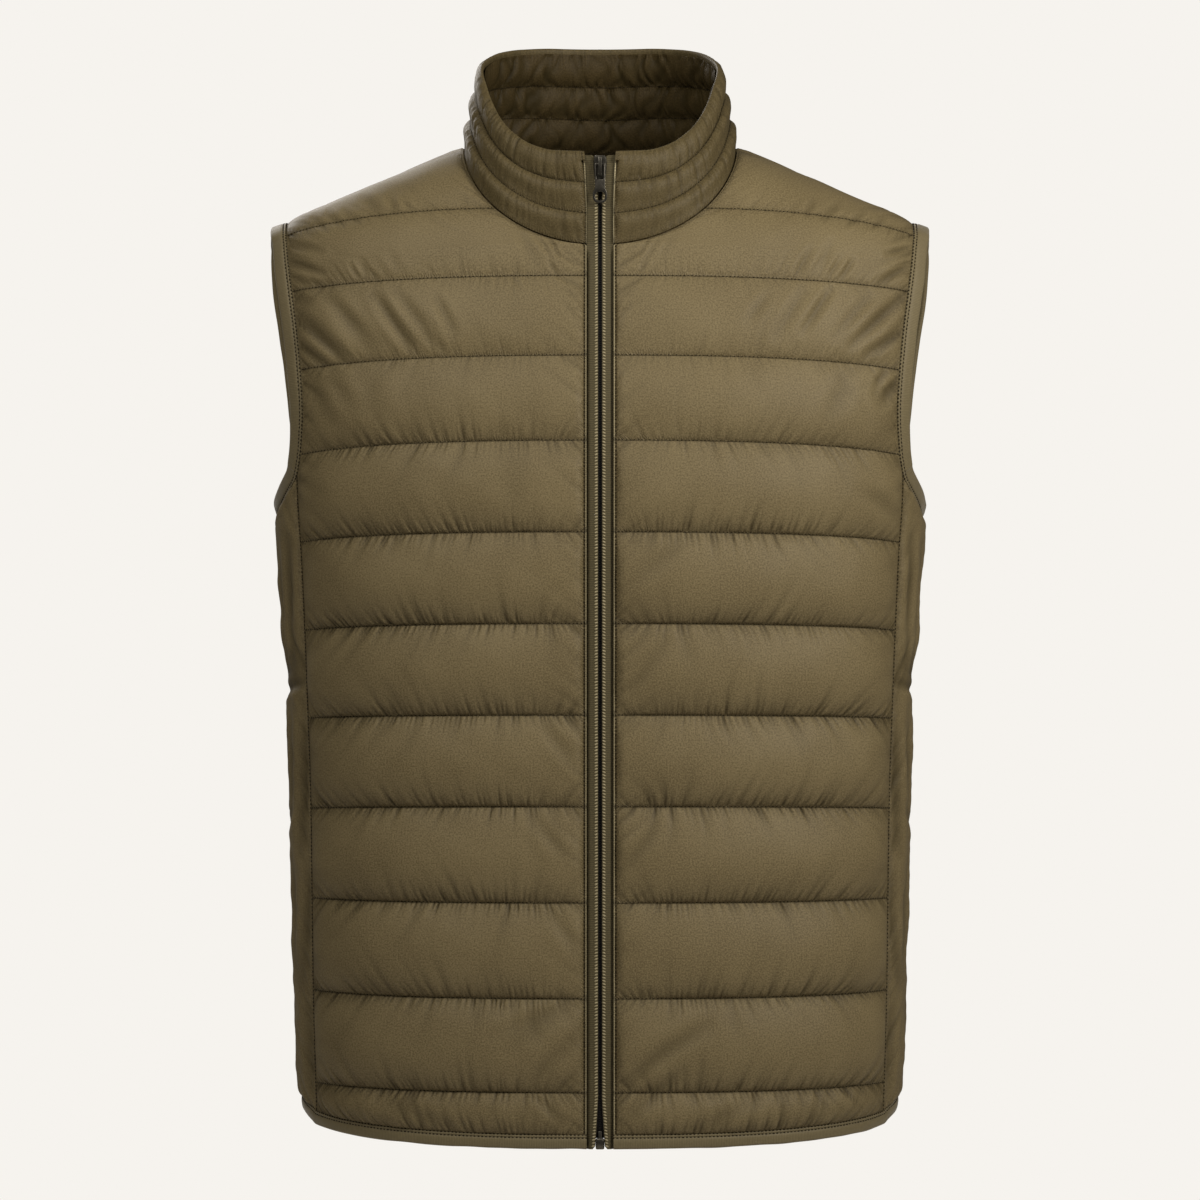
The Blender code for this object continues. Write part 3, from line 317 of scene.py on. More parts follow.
# %% Shell cloth
def make_shell_cloth(name, dark_hex, light_hex, shine):
    """Satin taffeta with grain, patches, drawn puckers, painted shade in its creases and a painted
    highlight on its folded edge.
    """
    material, tree, shader = new_finish(name, {
        "Roughness": SHELL_ROUGHNESS, "IOR": NYLON_IOR, "Specular IOR Level": shine})
    place = add_node(tree, "ShaderNodeTexCoord")
    cloth = add_node(tree, "ShaderNodeAttribute", attribute_name="cloth")
    patches = add_node(tree, "ShaderNodeTexNoise", {
        "Vector": (place, "Object"), "Scale": 1 / PATCH_SIZE, "Detail": 2.0})
    grain = add_node(tree, "ShaderNodeTexNoise", {
        "Vector": (cloth, "Vector"), "Scale": 1 / GRAIN_SIZE, "Detail": 2.0, "Roughness": 0.7})
    strong = add_node(tree, "ShaderNodeMath", {0: (grain, "Fac"), 1: GRAIN_SHARE}, operation="MULTIPLY")
    faint = add_node(tree, "ShaderNodeMath", {0: (patches, "Fac"), 1: PATCH_SHARE}, operation="MULTIPLY")
    blend = add_node(tree, "ShaderNodeMath", {0: (faint, "Value"), 1: (strong, "Value")}, operation="ADD")
    share = add_node(tree, "ShaderNodeMapRange", {
        "Value": (blend, "Value"), "From Min": ALL_DARK, "From Max": ALL_LIGHT})
    colour = add_node(tree, "ShaderNodeMix", {
        "Factor": (share, "Result"), "A": linear(dark_hex), "B": linear(light_hex)}, data_type="RGBA")
    parts, seam_height, seam_hollow = add_puckers(tree, "seam")
    _, edge_height, edge_hollow = add_puckers(tree, "edge")
    heights = add_node(tree, "ShaderNodeMath", {0: (seam_height, "Value"), 1: (edge_height, "Value")})
    hollows = add_node(tree, "ShaderNodeMath", {
        0: (seam_hollow, "Value"), 1: (edge_hollow, "Value")}, operation="MAXIMUM")
    drawn = add_node(tree, "ShaderNodeMath", {
        0: (hollows, "Value"), 1: DRAWN_CREASE_STRENGTH}, operation="MULTIPLY")
    crease = add_node(tree, "ShaderNodeAttribute", attribute_name="crease")
    formed = add_node(tree, "ShaderNodeMath", {
        0: (crease, "Fac"), 1: CREASE_STRENGTH}, operation="MULTIPLY")
    shade = add_node(tree, "ShaderNodeMath", {
        0: (drawn, "Value"), 1: (formed, "Value")}, operation="MAXIMUM")
    shaded = add_node(tree, "ShaderNodeMix", {
        "Factor": (shade, "Value"), "A": (colour, "Result"), "B": linear(CREASE_SHADE)}, data_type="RGBA")
    # a painted highlight along the crest of each folded edge
    highlighted = add_node(tree, "ShaderNodeMix", {
        "Factor": (parts, "Z"), "A": (shaded, "Result"), "B": linear(FOLD_HIGHLIGHT)}, data_type="RGBA")
    weave_bump = add_node(tree, "ShaderNodeBump", {
        "Height": (grain, "Fac"), "Strength": 1.0, "Distance": GRAIN_DEPTH})
    bump = add_node(tree, "ShaderNodeBump", {
        "Height": (heights, "Value"), "Strength": 1.0, "Distance": PUCKER_DEPTH,
        "Normal": (weave_bump, "Normal")})
    tree.links.new(highlighted.outputs["Result"], shader.inputs["Base Color"])
    tree.links.new(bump.outputs["Normal"], shader.inputs["Normal"])
    return material


shell_cloth = make_shell_cloth("downproof nylon taffeta", SHELL_DARK, SHELL_LIGHT, SHELL_SHINE)
# the collar's cloth: the shell's, darkened as painted shade
shaded_collar_cloth = make_shell_cloth(
    "downproof nylon taffeta of the collar", COLLAR_SHADE_DARK, COLLAR_SHADE_LIGHT, SHELL_SHINE)
# the lining: the same cloth, darkened further as painted shade
shaded_collar_lining = make_shell_cloth(
    "taffeta inside the collar, darkened as painted shade", LINING_SHADE_DARK, LINING_SHADE_LIGHT, LINING_SHINE)
print("cloths:", *(cloth.name for cloth in (shell_cloth, shaded_collar_cloth, shaded_collar_lining)), sep="\n  ")

# %% [markdown]
# ### Tapes, thread and metal
# The binding is a narrow woven tape with a slight rib across it. The zip's tape is a dense twill with a
# dull face. Thread is spun polyester, drawn darker than the cloth: partly its own colour, partly painted
# shade of the holes and grooves that it sinks into. The teeth are nylon coil, drawn near black: partly
# their own colour, partly painted shade of the narrow gap they lie in. They are bound by a pale thread,
# and the slider is zinc alloy, cast and plated a dark grey.

# %% Tapes, thread and metal
BINDING_RIB, TAPE_RIB, RIB_DEPTH = 0.0011, 0.0012, 0.00012
BANDS_IN_UNIT = 3.14  # of a wave texture at scale 1
FUZZ_SIZE = 0.0015


def make_ribbed_tape(name, dark_hex, light_hex, rib, roughness):
    """A woven tape with ribs across it, read from the tape's own cloth attribute."""
    material, tree, shader = new_finish(name, {
        "Roughness": roughness, "Specular IOR Level": 0.3, "Sheen Weight": 0.2, "Sheen Roughness": 0.4})
    cloth = add_node(tree, "ShaderNodeAttribute", attribute_name="cloth")
    ribs = add_node(tree, "ShaderNodeTexWave", {
        "Vector": (cloth, "Vector"), "Scale": 1 / rib / BANDS_IN_UNIT, "Distortion": 0.6, "Detail": 1.0,
        "Detail Scale": 2.0}, bands_direction="X", wave_profile="SIN")
    fuzz = add_node(tree, "ShaderNodeTexNoise", {
        "Vector": (cloth, "Vector"), "Scale": 1 / FUZZ_SIZE, "Detail": 2.0})
    blend = add_node(tree, "ShaderNodeMath", {0: (ribs, "Fac"), 1: (fuzz, "Fac")}, operation="MULTIPLY")
    colour = add_node(tree, "ShaderNodeMix", {
        "Factor": (blend, "Value"), "A": linear(dark_hex), "B": linear(light_hex)}, data_type="RGBA")
    bump = add_node(tree, "ShaderNodeBump", {
        "Height": (blend, "Value"), "Strength": 1.0, "Distance": RIB_DEPTH})
    tree.links.new(colour.outputs["Result"], shader.inputs["Base Color"])
    tree.links.new(bump.outputs["Normal"], shader.inputs["Normal"])
    return material


def make_plain(name, dark_hex, light_hex, roughness, metallic=0.0, patch=0.0008, shine=0.5):
    """A finish whose colour drifts a little between two values."""
    material, tree, shader = new_finish(name, {
        "Roughness": roughness, "Metallic": metallic, "Specular IOR Level": shine})
    place = add_node(tree, "ShaderNodeTexCoord")
    noise = add_node(tree, "ShaderNodeTexNoise", {
        "Vector": (place, "Object"), "Scale": 1 / patch, "Detail": 2.0})
    colour = add_node(tree, "ShaderNodeMix", {
        "Factor": (noise, "Fac"), "A": linear(dark_hex), "B": linear(light_hex)}, data_type="RGBA")
    tree.links.new(colour.outputs["Result"], shader.inputs["Base Color"])
    return material


binding_tape = make_ribbed_tape("woven binding tape", "5f553b", "7c7051", BINDING_RIB, 0.6)
zip_tape = make_ribbed_tape("twill zip tape", "3f3823", "625839", TAPE_RIB, 0.75)
# drawn dark: partly the thread's own colour, partly painted shade of its holes and grooves
thread = make_plain("spun polyester thread", "1d170b", "2e2614", 0.8, shine=0.2)
coil_thread = make_plain("coil binding thread", "7c7152", "a89d7c", 0.6, patch=0.0012)
# near black: partly the coil's own colour, partly painted shade of the gap between the beads
coil_nylon = make_plain("black nylon coil", "070605", "0e0b08", 0.6, shine=0.15)
plated_zinc = make_plain("plated zinc alloy", "45423c", "635f56", 0.34, metallic=1.0)
print("finishes:", len(bpy.data.materials))

# %% [markdown]
# ## Quilting
# The panels share one set of rules. A channel bulges as a sine does, a little fuller below its middle
# because the wadding sags. It flattens into the upright seams at its two ends: steeply, as a quarter
# ellipse, where a panel's rows start, which is beside the zip on a front, and gently where they end. The
# mesh has more rows near each line of stitches, where the surface turns sharply, and fewer on the full
# part of a channel.

# %% Sizes of the quilting
ZIP_EDGE = 8.7
ARMHOLE_FRONT = (  # height, x of the front's edge
    (-50, 209), (-54, 208.4), (-63, 207.2), (-80, 205.2), (-100, 202.4),
    (-125, 198.9), (-150, 196.3), (-180, 194.6), (-206, 196.2), (-222, 199),
)
ARMHOLE_BACK = (  # height, x of the back's edge
    (-50, 209), (-54, 210.3), (-63, 213), (-80, 214.2), (-100, 213.4),
    (-125, 210.5), (-150, 207.5), (-180, 204.5), (-206, 201.5), (-222, 199),
)
SIDE_SEAM = (  # height, x of the seam between a side panel and the front or back
    (-222, 199), (-240, 198.6), (-272, 196.5), (-363, 193), (-440, 190.5), (-560, 189), (-660, 186),
)
SIDE_SEAM_TOP = -222.0
UNDERARM_HEIGHT = -250.0
QUILT = (  # line, height at the zip or centre back, height at the side or armhole, puff above it
    ("hem seam", -647.2, -639.3, 5.0),
    ("line 1", -620.0, -620.2, 8.5),
    ("line 2", -559.6, -559.3, 8.5),
    ("line 3", -498.0, -498.8, 8.5),
    ("line 4", -436.0, -439.7, 8.5),
    ("line 5", -377.0, -380.5, 8.5),
    ("line 6", -318.0, -322.7, 8.0),
    ("line 7", -259.0, -264.9, 7.0),
    ("line 8", -200.0, -207.7, 5.6),
    ("line 9", -145.0, -152.5, 3.9),
    ("line 10", -93.0, -100.7, 3.2),
    ("line 11", -48.0, -62.8, 3.6),
)
HEM_RISE_ON_SIDE = 7.8
SIDE_PUFF = 4.0
FULL_CHANNEL = 58.0
SAG, ROUNDNESS = 0.86, 0.72  # exponents of a channel's height and of its bulge
EDGE_EASE, ZIP_EDGE_EASE = 3.5, 6.0  # width over which the quarter ellipse rises
SEAM_EASE, SIDE_SEAM_EASE = 13.0, 5.5  # width in which the gentle rise makes two thirds of its way
EDGE_LEVEL, EDGE_SETTLES = 0.5, 26.0  # share of the puff left beside a seam, and how far off it is full
TAUTNESS = (-260, 0.72), (-120, 0.85)  # height and exponent of the bulge: the chest is stretched flatter
WALL = 2.0  # thickness of the layers at a stitch line
SEAM_GAP = 0.3
# Angles on the neck seam and shares of the shoulder seam where the rows and columns meet them.
NECK_BELOW_LINE_11 = (5.52, 16.5, 27.5, 38.5)
NECK_ABOVE_LINE_11 = (48.9, 56.5, 64, 71.5, 79, 86.5)
NECK_BEHIND_SEAM = (90, 100, 115, 131, 147, 163.5, 180)
SEAM_SHARES = (0, 0.11, 0.28, 0.46, 0.64, 0.81, 0.94, 1)
ROWS_IN_FULL_CHANNEL, ROWS_BELOW_COLLAR = 25, 52
FRONT_COLUMN_STEPS = 440
BACK_COLUMN_STEPS = 148
SIDE_COLUMN_STEPS, SIDE_ROWS = 72, 401
ROWS_OVER_SHOULDER = 28
LINE_SHIFT, SIDE_SHIFT = 37.0, 11.0  # so that the drawn puckers of two rows don't look the same
GATHERS_BELOW = 0.62  # length of the drawn puckers below a stitch line, as a share of those above it

armhole_front_x, armhole_back_x = curve(ARMHOLE_FRONT), curve(ARMHOLE_BACK)
side_seam_x = curve(SIDE_SEAM)


def channel_shape(share, power=ROUNDNESS):
    """The bulge across a channel, 0 at both stitch lines; the filling sags below the middle."""
    return np.sin(np.pi * np.clip(share, 0, 1) ** SAG).clip(0) ** power


def edge_shape(distance, ease=EDGE_EASE):
    """0 at a seam, rising as a quarter ellipse to 1."""
    near = 1 - np.clip(distance / ease, 0, 1)
    return np.sqrt(1 - near * near)


def settled(distance):
    """The wadding is thinner towards a seam."""
    return 1 - (1 - EDGE_LEVEL) * np.exp(-distance / EDGE_SETTLES)


def seam_shape(distance, ease=SEAM_EASE):
    """0 at a seam, rising gently, so the seam still shows past the swell of the cloth beside it."""
    return 1 - np.exp(-distance / ease)


def closer_at_ends(count, evenness=0.25):
    """Shares from 0 to just under 1, closer together near both ends."""
    even = np.arange(count) / count
    return evenness * even + (1 - evenness) * (0.5 - 0.5 * np.cos(np.pi * even))


def length_along(points):
    """Length of a line of points from its start to each of them."""
    return np.concatenate([[0.0], np.cumsum(np.linalg.norm(np.diff(points, axis=0), axis=1))])


def distances(grid, axis):
    """Length along each grid line from its start, and what is left to its end."""
    steps = np.linalg.norm(np.diff(grid, axis=axis), axis=-1)
    zero = np.zeros_like(np.take(steps, [0], axis=axis))
    run = np.concatenate([zero, np.cumsum(steps, axis=axis)], axis=axis)
    return run, np.take(run, [-1], axis=axis) - run


# %% [markdown]
# ### Folds and puckers
# Three things wrinkle a quilted panel. Puckers run off each row of stitches and off the upright seams,
# short and close together. They lean towards the nearest upright seam, because that seam pulls too.
# Larger soft folds cross a channel where the body turns, and those are listed in a table. Below
# both lies a faint, wide unevenness of the wadding. Each random draw has its own seed, so every run
# gives the same vest.

# %% Sizes of the wrinkles
SCATTER = 0.36  # how far a crease strays from its even place, as a share of the pitch
SHORTEST, LONGEST = 0.4, 1.6  # lengths of the creases, as shares of the usual length
SPREADING = 0.02  # how much a crease broadens over each millimetre of its way
CREASE_START = 0.5  # distance in which a crease reaches half its depth
FOLD_RIDGE, RIDGE_PLACE = 0.35, 1.9  # height and distance of the ridge beside a fold
VALLEY_HALF_BREADTH = 0.8  # of the cloth pulled in along a row of stitches
FULL_CREASE = 2.2  # depth at which a crease is as dark as it gets
TICK_PITCH = 3.1  # of the small puckers beside a row of stitches


# %% Wrinkle functions
def ripple(points, wavelength, seed, waves=9):
    """Smooth unevenness between about -1 and 1: a sum of waves in seeded directions."""
    rng = np.random.default_rng(seed)
    total = np.zeros(points.shape[:-1])
    for _ in range(waves):
        direction = rng.normal(size=points.shape[-1])
        direction /= np.linalg.norm(direction)
        length = wavelength * rng.uniform(0.7, 1.6)
        total += np.sin(points @ direction * (2 * math.pi / length) + rng.uniform(0, 2 * math.pi))
    return total / math.sqrt(waves * 2)


def troughs(rng, along, away, pitch, depth, length, lean=0.0, breadth=0.24, least=0.1):
    """How deep the creases that run off a seam sink in at each point.

    Along runs beside the seam and away leads off it; lean is how far a crease shifts along as it goes.
    The shallowest crease has the least share of the full depth.
    """
    count = int(np.max(along) / pitch) + 6
    places = (np.arange(count) - 2 + rng.uniform(-SCATTER, SCATTER, count)) * pitch
    depths = depth * rng.uniform(least, 1.0, count)
    lengths = length * rng.uniform(SHORTEST, LONGEST, count)
    away = np.maximum(away, 0)
    met = along - lean * away
    nearest = np.clip(np.searchsorted((places[1:] + places[:-1]) / 2, met), 0, count - 1)
    across = np.abs(met - places[nearest]) / (pitch * breadth * (1 + SPREADING * away))
    fade = away / (away + CREASE_START) * np.exp(-((away / lengths[nearest]) ** 1.5))
    return depths[nearest] * np.exp(-(across**1.7)) * fade


def fold(flat, start, end, half_breadth, depth):
    """A soft trough from start to end with a low ridge on each side; flat holds (x, z) points."""
    start, end = np.array(start, float), np.array(end, float)
    line = end - start
    share = ((flat - start) @ line) / (line @ line)
    nearest = start + np.clip(share, 0, 1)[..., None] * line
    away = np.linalg.norm(flat - nearest, axis=-1) / half_breadth
    ends = np.sin(np.pi * (0.08 + 0.84 * np.clip(share, 0, 1))) ** 0.7
    ridge = FOLD_RIDGE * np.exp(-1.4 * (away - RIDGE_PLACE) ** 2)
    return depth * ends * (np.exp(-(away**2)) - ridge)


def crease_share(sunk):
    """How deep in a crease each point lies, from 0 to 1, three times over as a vector."""
    return np.repeat(np.clip(sunk / FULL_CREASE, 0, 1)[..., None], 3, -1)


# %% A quilted panel's own directions
class Quilt:
    """A panel's points at its stitch lines' depth, and where each one lies on the cloth."""

    def __init__(self, grid, channels, shares, puffs):
        self.grid, self.channels, self.shares, self.puffs = grid, channels, shares, puffs
        self.normals = torso_normal(grid)
        self.along, self.beyond = distances(grid, 1)
        self.run, _ = distances(grid, 0)
        self.starts = [int(np.argmax(channels == c)) for c in range(channels[-1] + 1)]
        self.up, self.down = np.empty_like(self.run), np.empty_like(self.run)
        for channel, first in enumerate(self.starts):
            rows = channels == channel
            stop = self.starts[channel + 1] if channel + 1 < len(self.starts) else len(grid) - 1
            self.up[rows] = self.run[rows] - self.run[first]
            self.down[rows] = self.run[stop] - self.run[rows]

    def bulge(self):
        """The channels alone; a point's share is its height between the lines below and above it."""
        share = self.up / (self.up + self.down)
        for channel, first in enumerate(self.starts[:-1]):
            rows, last = self.channels == channel, self.starts[channel + 1]
            x, z = self.grid[rows][..., 0], self.grid[rows][..., 2]
            low, high = (np.interp(x, self.grid[k, :, 0], self.grid[k, :, 2]) for k in (first, last))
            share[rows] = (z - low) / (high - low)
        power = np.interp(self.grid[..., 2], [t[0] for t in TAUTNESS], [t[1] for t in TAUTNESS])
        return self.puffs[:, None] * channel_shape(share, power)

    def attributes(self, lean, fold_highlight, from_edge, edge_lean, sunk):
        """Where the cloth, the nearest stitch line and the nearest side edge are, and where a highlight is
        painted on a folded edge, for the material.

        Distances below a stitch line are stretched, because the gathers above it are the longer ones.
        """
        above = self.up < self.down
        away = np.minimum(self.up, self.down)
        line = self.channels[:, None] + ~above
        along = self.along - lean * away + LINE_SHIFT * line + SIDE_SHIFT * above
        stretched = np.where(above, away, away / GATHERS_BELOW)
        seam = np.stack([along * METRES, stretched * METRES, fold_highlight], -1)
        edge = np.stack([self.run - edge_lean * from_edge, from_edge, self.along * 0], -1) * METRES
        return {"cloth": self.cloth_attribute(), "seam": seam, "edge": edge, "crease": crease_share(sunk)}

    def cloth_attribute(self):
        """Where each point lies on the flat cloth, for the grain: across it and down it."""
        across = self.along + self.grid[:, :1, 0]
        down = np.broadcast_to(np.median(self.run, axis=1)[:, None], across.shape)
        return np.stack([across, down, self.along * 0], -1) * METRES


# %% Puckers beside the stitches
def stitch_puckers(quilt, seed, lean, strength, coarseness):
    """Puckers on both sides of every stitch line of a panel."""
    sunk = np.zeros_like(quilt.along)
    pitch = TICK_PITCH * coarseness
    for channel in range(quilt.channels[-1] + 1):
        rows = quilt.channels == channel
        along, up, down = quilt.along[rows], quilt.up[rows], quilt.down[rows]
        rng = np.random.default_rng((seed, channel))
        slant, force = lean[rows], strength[rows]
        small = troughs(rng, along, up, pitch * 1.1, 2.3, 5.5, slant, 0.27, 0.25)
        small += troughs(rng, along, down, pitch, 3.0, 4.5, slant, 0.26, 0.45)
        medium = troughs(rng, along, up, 9, 1.2, 13, slant * 0.9, 0.2)
        medium += troughs(rng, along, down, 12, 1.0, 14, slant * 0.9, 0.2)
        to_line = np.minimum(up, down)
        valley = (0.3 + 0.3 * force) * np.exp(-((to_line / VALLEY_HALF_BREADTH) ** 2))
        sunk[rows] = (small + medium) * force + valley
    return sunk


print("channels:", len(QUILT), "full channel", FULL_CHANNEL, "mm")


# %% [markdown]
# ### Rows and columns of each panel
# Each row of the mesh follows the quilting, so a line of stitches is always one row of points. Above the
# last line the panels run over the shoulder, where a row is easier to draw in plan and drop on the form.


# %% Rows and columns
def quilt_rows():
    """Rows up to line 11: channel, share across it, height at the inner and outer end, puff."""
    rows = []
    for channel, (low, high) in enumerate(zip(QUILT, QUILT[1:])):
        _, low_in, low_out, puff = low
        fullness = min(1.0, (high[1] - low_in) / FULL_CHANNEL)
        below_collar = channel == len(QUILT) - 2
        count = ROWS_BELOW_COLLAR if below_collar else round(ROWS_IN_FULL_CHANNEL * max(fullness, 0.6))
        for share in closer_at_ends(count, 0.8 if below_collar else 0.25):
            z_in = low_in + (high[1] - low_in) * share
            rows.append((channel, share, z_in, low_out + (high[2] - low_out) * share, puff))
    last = QUILT[-1]
    rows.append((len(QUILT) - 1, 0.0, *last[1:]))
    return rows


def round_section(x_start, x_end, z_start, z_end, shares, face):
    """A row of points between two x, spaced evenly round the section rather than along x."""
    power = SQUARENESS / 2
    first = np.arcsin(np.clip(x_start / half_width(z_start), 0, 1) ** power)
    last = np.arcsin(np.clip(x_end / half_width(z_end), 0, 1) ** power)
    z = z_start + (z_end - z_start) * shares**2
    x = half_width(z) * np.sin(first + (last - first) * shares) ** (1 / power)
    x[0], x[-1] = x_start, x_end
    return np.column_stack([x, torso_y(x, z, face), z])


def panel_side_x(z, armhole_x):
    """The front's or back's edge: the side seam, and above it the armhole."""
    return float(armhole_x(z) if z > SIDE_SEAM_TOP + 0.5 else side_seam_x(z)) - SEAM_GAP / 2


def over_shoulder(lower, upper, inner):
    """Rows from the last stitch line to the shoulder seam, drawn in plan and laid on the surface."""
    across = np.linspace(0, 1, len(lower))
    rows = []
    for step in range(1, len(inner) - 1):
        share = step / (len(inner) - 1)
        plan = lower[:, :2] + (upper[:, :2] - lower[:, :2]) * share
        plan = plan + (inner[step, :2] - plan[0]) * (1 - across[:, None])
        row = np.column_stack([plan, torso_z(np.abs(plan[:, 0]), plan[:, 1])])
        row[0] = inner[step]
        rows.append(row)
    return [*rows, upper]


def with_shoulder_rows(rows, table, upper, inner):
    """The whole panel from its rows, their table and the rows over the shoulder."""
    above = over_shoulder(rows[-1], upper, inner)
    last = table[-1][0]
    channels = np.array([r[0] for r in table] + [last] * len(above))
    shares = np.array([r[1] for r in table] + [(k + 1) / len(above) for k in range(len(above))])
    puffs = np.array([r[4] for r in table] + [QUILT[-1][3]] * len(above))
    return Quilt(np.array(rows + above), channels, shares, puffs)


def column_shares(steps, crowded):
    """Even column shares, with more columns over the crowded share next to each end."""
    ends = crowded * np.linspace(0, 1, 13)[:-1]
    middle = np.linspace(crowded, 1 - crowded, steps - 24)
    return np.concatenate([ends, middle, 1 - ends[::-1]])


# %% Front panel's grid
def front_quilt():
    """The wearer's left front."""
    shares = column_shares(FRONT_COLUMN_STEPS, 0.013)
    table, rows = quilt_rows(), []
    last_full = len(QUILT) - 2
    for channel, share, z_in, z_out, _ in table:
        x_in = ZIP_EDGE
        if channel == last_full:
            stations = np.arange(6) / 5
            angle = np.interp(share, stations[1:], (*NECK_BELOW_LINE_11, NECK_ABOVE_LINE_11[0]))
            first = neck_points(NECK_BELOW_LINE_11[0])[2]
            start = QUILT[channel][1]
            z_in = start + (first - start) * share * 5 if share < stations[1] else neck_points(angle)[2]
            x_in = max(ZIP_EDGE, neck_points(angle)[0])
        elif channel > last_full:
            x_in = neck_points(NECK_ABOVE_LINE_11[0])[0]
        rows.append(round_section(x_in, panel_side_x(z_out, armhole_front_x), z_in, z_out, shares, -1))
    seam = shoulder_seam(shares, NECK_ABOVE_LINE_11[-1]) - (0, SEAM_GAP / 2, 0)
    seam[-1, 0] -= SEAM_GAP / 2
    steps = np.linspace(0, len(NECK_ABOVE_LINE_11) - 1, ROWS_OVER_SHOULDER)
    inner = neck_points(np.interp(steps, range(len(NECK_ABOVE_LINE_11)), NECK_ABOVE_LINE_11))
    return with_shoulder_rows(rows, table, seam, inner)


def mirrored(grid):
    """A grid of the wearer's left side as the right side's, its columns in the opposite order."""
    return grid[:, ::-1] * (-1, 1, 1)


# %% Back panel's grid
def back_quilt():
    """The whole back, from the wearer's right to left, over the shoulders to the seams in front."""
    coarse_count = len(NECK_BEHIND_SEAM) + len(SEAM_SHARES)
    places = np.linspace(0, coarse_count - 1, BACK_COLUMN_STEPS + 1)
    neck_last = len(NECK_BEHIND_SEAM) - 1
    angles = np.interp(places, range(len(NECK_BEHIND_SEAM)), NECK_BEHIND_SEAM[::-1])
    seam_at = np.interp(places - neck_last - 1, range(len(SEAM_SHARES)), SEAM_SHARES)
    seam = shoulder_seam(seam_at, NECK_ABOVE_LINE_11[-1]) + (0, SEAM_GAP / 2, 0)
    seam[-1, 0] -= SEAM_GAP / 2
    neck = neck_points(angles)
    step_over = np.clip(places - neck_last, 0, 1)[:, None]
    upper = np.where(step_over < 1, neck + (seam - neck) * step_over, seam)
    shares = np.linspace(0, 1, len(places))
    shares = shares + 0.10 * np.sin(np.pi * shares) * shares
    table = quilt_rows()
    rows = [
        round_section(0.0, panel_side_x(z_out, armhole_back_x), z_in, z_out, shares, 1)
        for _, _, z_in, z_out, _ in table
    ]
    steps = np.linspace(0, 1, ROWS_OVER_SHOULDER)
    centre_y = rows[-1][0, 1] + (upper[0, 1] - rows[-1][0, 1]) * steps
    centre = np.column_stack([centre_y * 0, centre_y, torso_z(centre_y * 0, centre_y)])
    half = with_shoulder_rows(rows, table, upper, centre)
    whole = np.concatenate([mirrored(half.grid)[:, :-1], half.grid], axis=1)
    return Quilt(whole, half.channels, half.shares, half.puffs)


# %% Side panel's grid
def side_grid():
    """The wearer's left side panel, from the front seam to the back seam."""
    columns = []
    for share in np.linspace(0, 1, SIDE_COLUMN_STEPS + 1):
        middle = math.sin(math.pi * share) ** 0.7
        top = SIDE_SEAM_TOP + (UNDERARM_HEIGHT - SIDE_SEAM_TOP) * middle
        bottom = QUILT[0][2] + HEM_RISE_ON_SIDE * middle
        z = np.linspace(bottom, top, SIDE_ROWS)
        seam_x = side_seam_x(z) + SEAM_GAP / 2
        y_front, y_back = torso_y(seam_x, z, -1), torso_y(seam_x, z, 1)
        y = y_front + (y_back - y_front) * share
        columns.append(np.column_stack([torso_x(y, z), y, z]))
    return np.stack(columns, axis=1)


front, back, side = front_quilt(), back_quilt(), side_grid()
print("front", front.grid.shape[:2], "back", back.grid.shape[:2], "side", side.shape[:2])

# %% [markdown]
# ### From points to a closed piece
# A piece of cloth has an outer face and an inner face. Only the outer one needs every point, so the inner
# face keeps every few rows and columns, and fans of triangles along its border join the two. The result
# is closed, which keeps its volume true.


# %% A closed piece from points
SHARP_ANGLE = 55.0
INNER_ROW_STEP, INNER_COLUMN_STEP = 9, 8  # of the rows and columns that the inner face keeps


def solid_piece(name, points, faces, material, attributes):
    """An object from points in millimetres and faces, with vector attributes for its material."""
    mesh = bpy.data.meshes.new(name)
    mesh.from_pydata(points, [], faces)
    builder = bmesh.new()
    builder.from_mesh(mesh)
    bmesh.ops.recalc_face_normals(builder, faces=builder.faces)
    builder.to_mesh(mesh)
    builder.free()
    points = np.empty(len(mesh.vertices) * 3)
    mesh.vertices.foreach_get("co", points)
    mesh.vertices.foreach_set("co", points * METRES)
    for key, values in attributes.items():
        layer = mesh.attributes.new(key, "FLOAT_VECTOR", "POINT")
        layer.data.foreach_set("vector", np.asarray(values, np.float32).ravel())
    mesh.shade_smooth()
    mesh.set_sharp_from_angle(angle=math.radians(SHARP_ANGLE))
    mesh.materials.append(material)
    shape = add_object(name, mesh)
    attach(shape, "vest")
    return shape


# %% Faces between rows of points
def every(count, step):
    """Every few of a count of rows, and always the last one."""
    return [*range(0, count - 1, step), count - 1]


def fans(fine, coarse, kept):
    """Triangles between a fine edge and a coarse one; coarse[k] faces the fine edge's kept[k]."""
    faces = []
    for k in range(len(kept) - 1):
        start, stop = kept[k], kept[k + 1]
        middle = (start + stop) // 2
        for i in range(start, stop):
            faces.append((fine[i], fine[i + 1], coarse[k] if i < middle else coarse[k + 1]))
        if coarse[k] != coarse[k + 1]:
            faces.append((coarse[k], fine[middle], coarse[k + 1]))
    return faces


def grid_faces(index):
    """The quads between the rows and columns of a table of point numbers."""
    corners = (index[:-1, :-1], index[:-1, 1:], index[1:, 1:], index[1:, :-1])
    return np.stack(corners, -1).reshape(-1, 4).tolist()


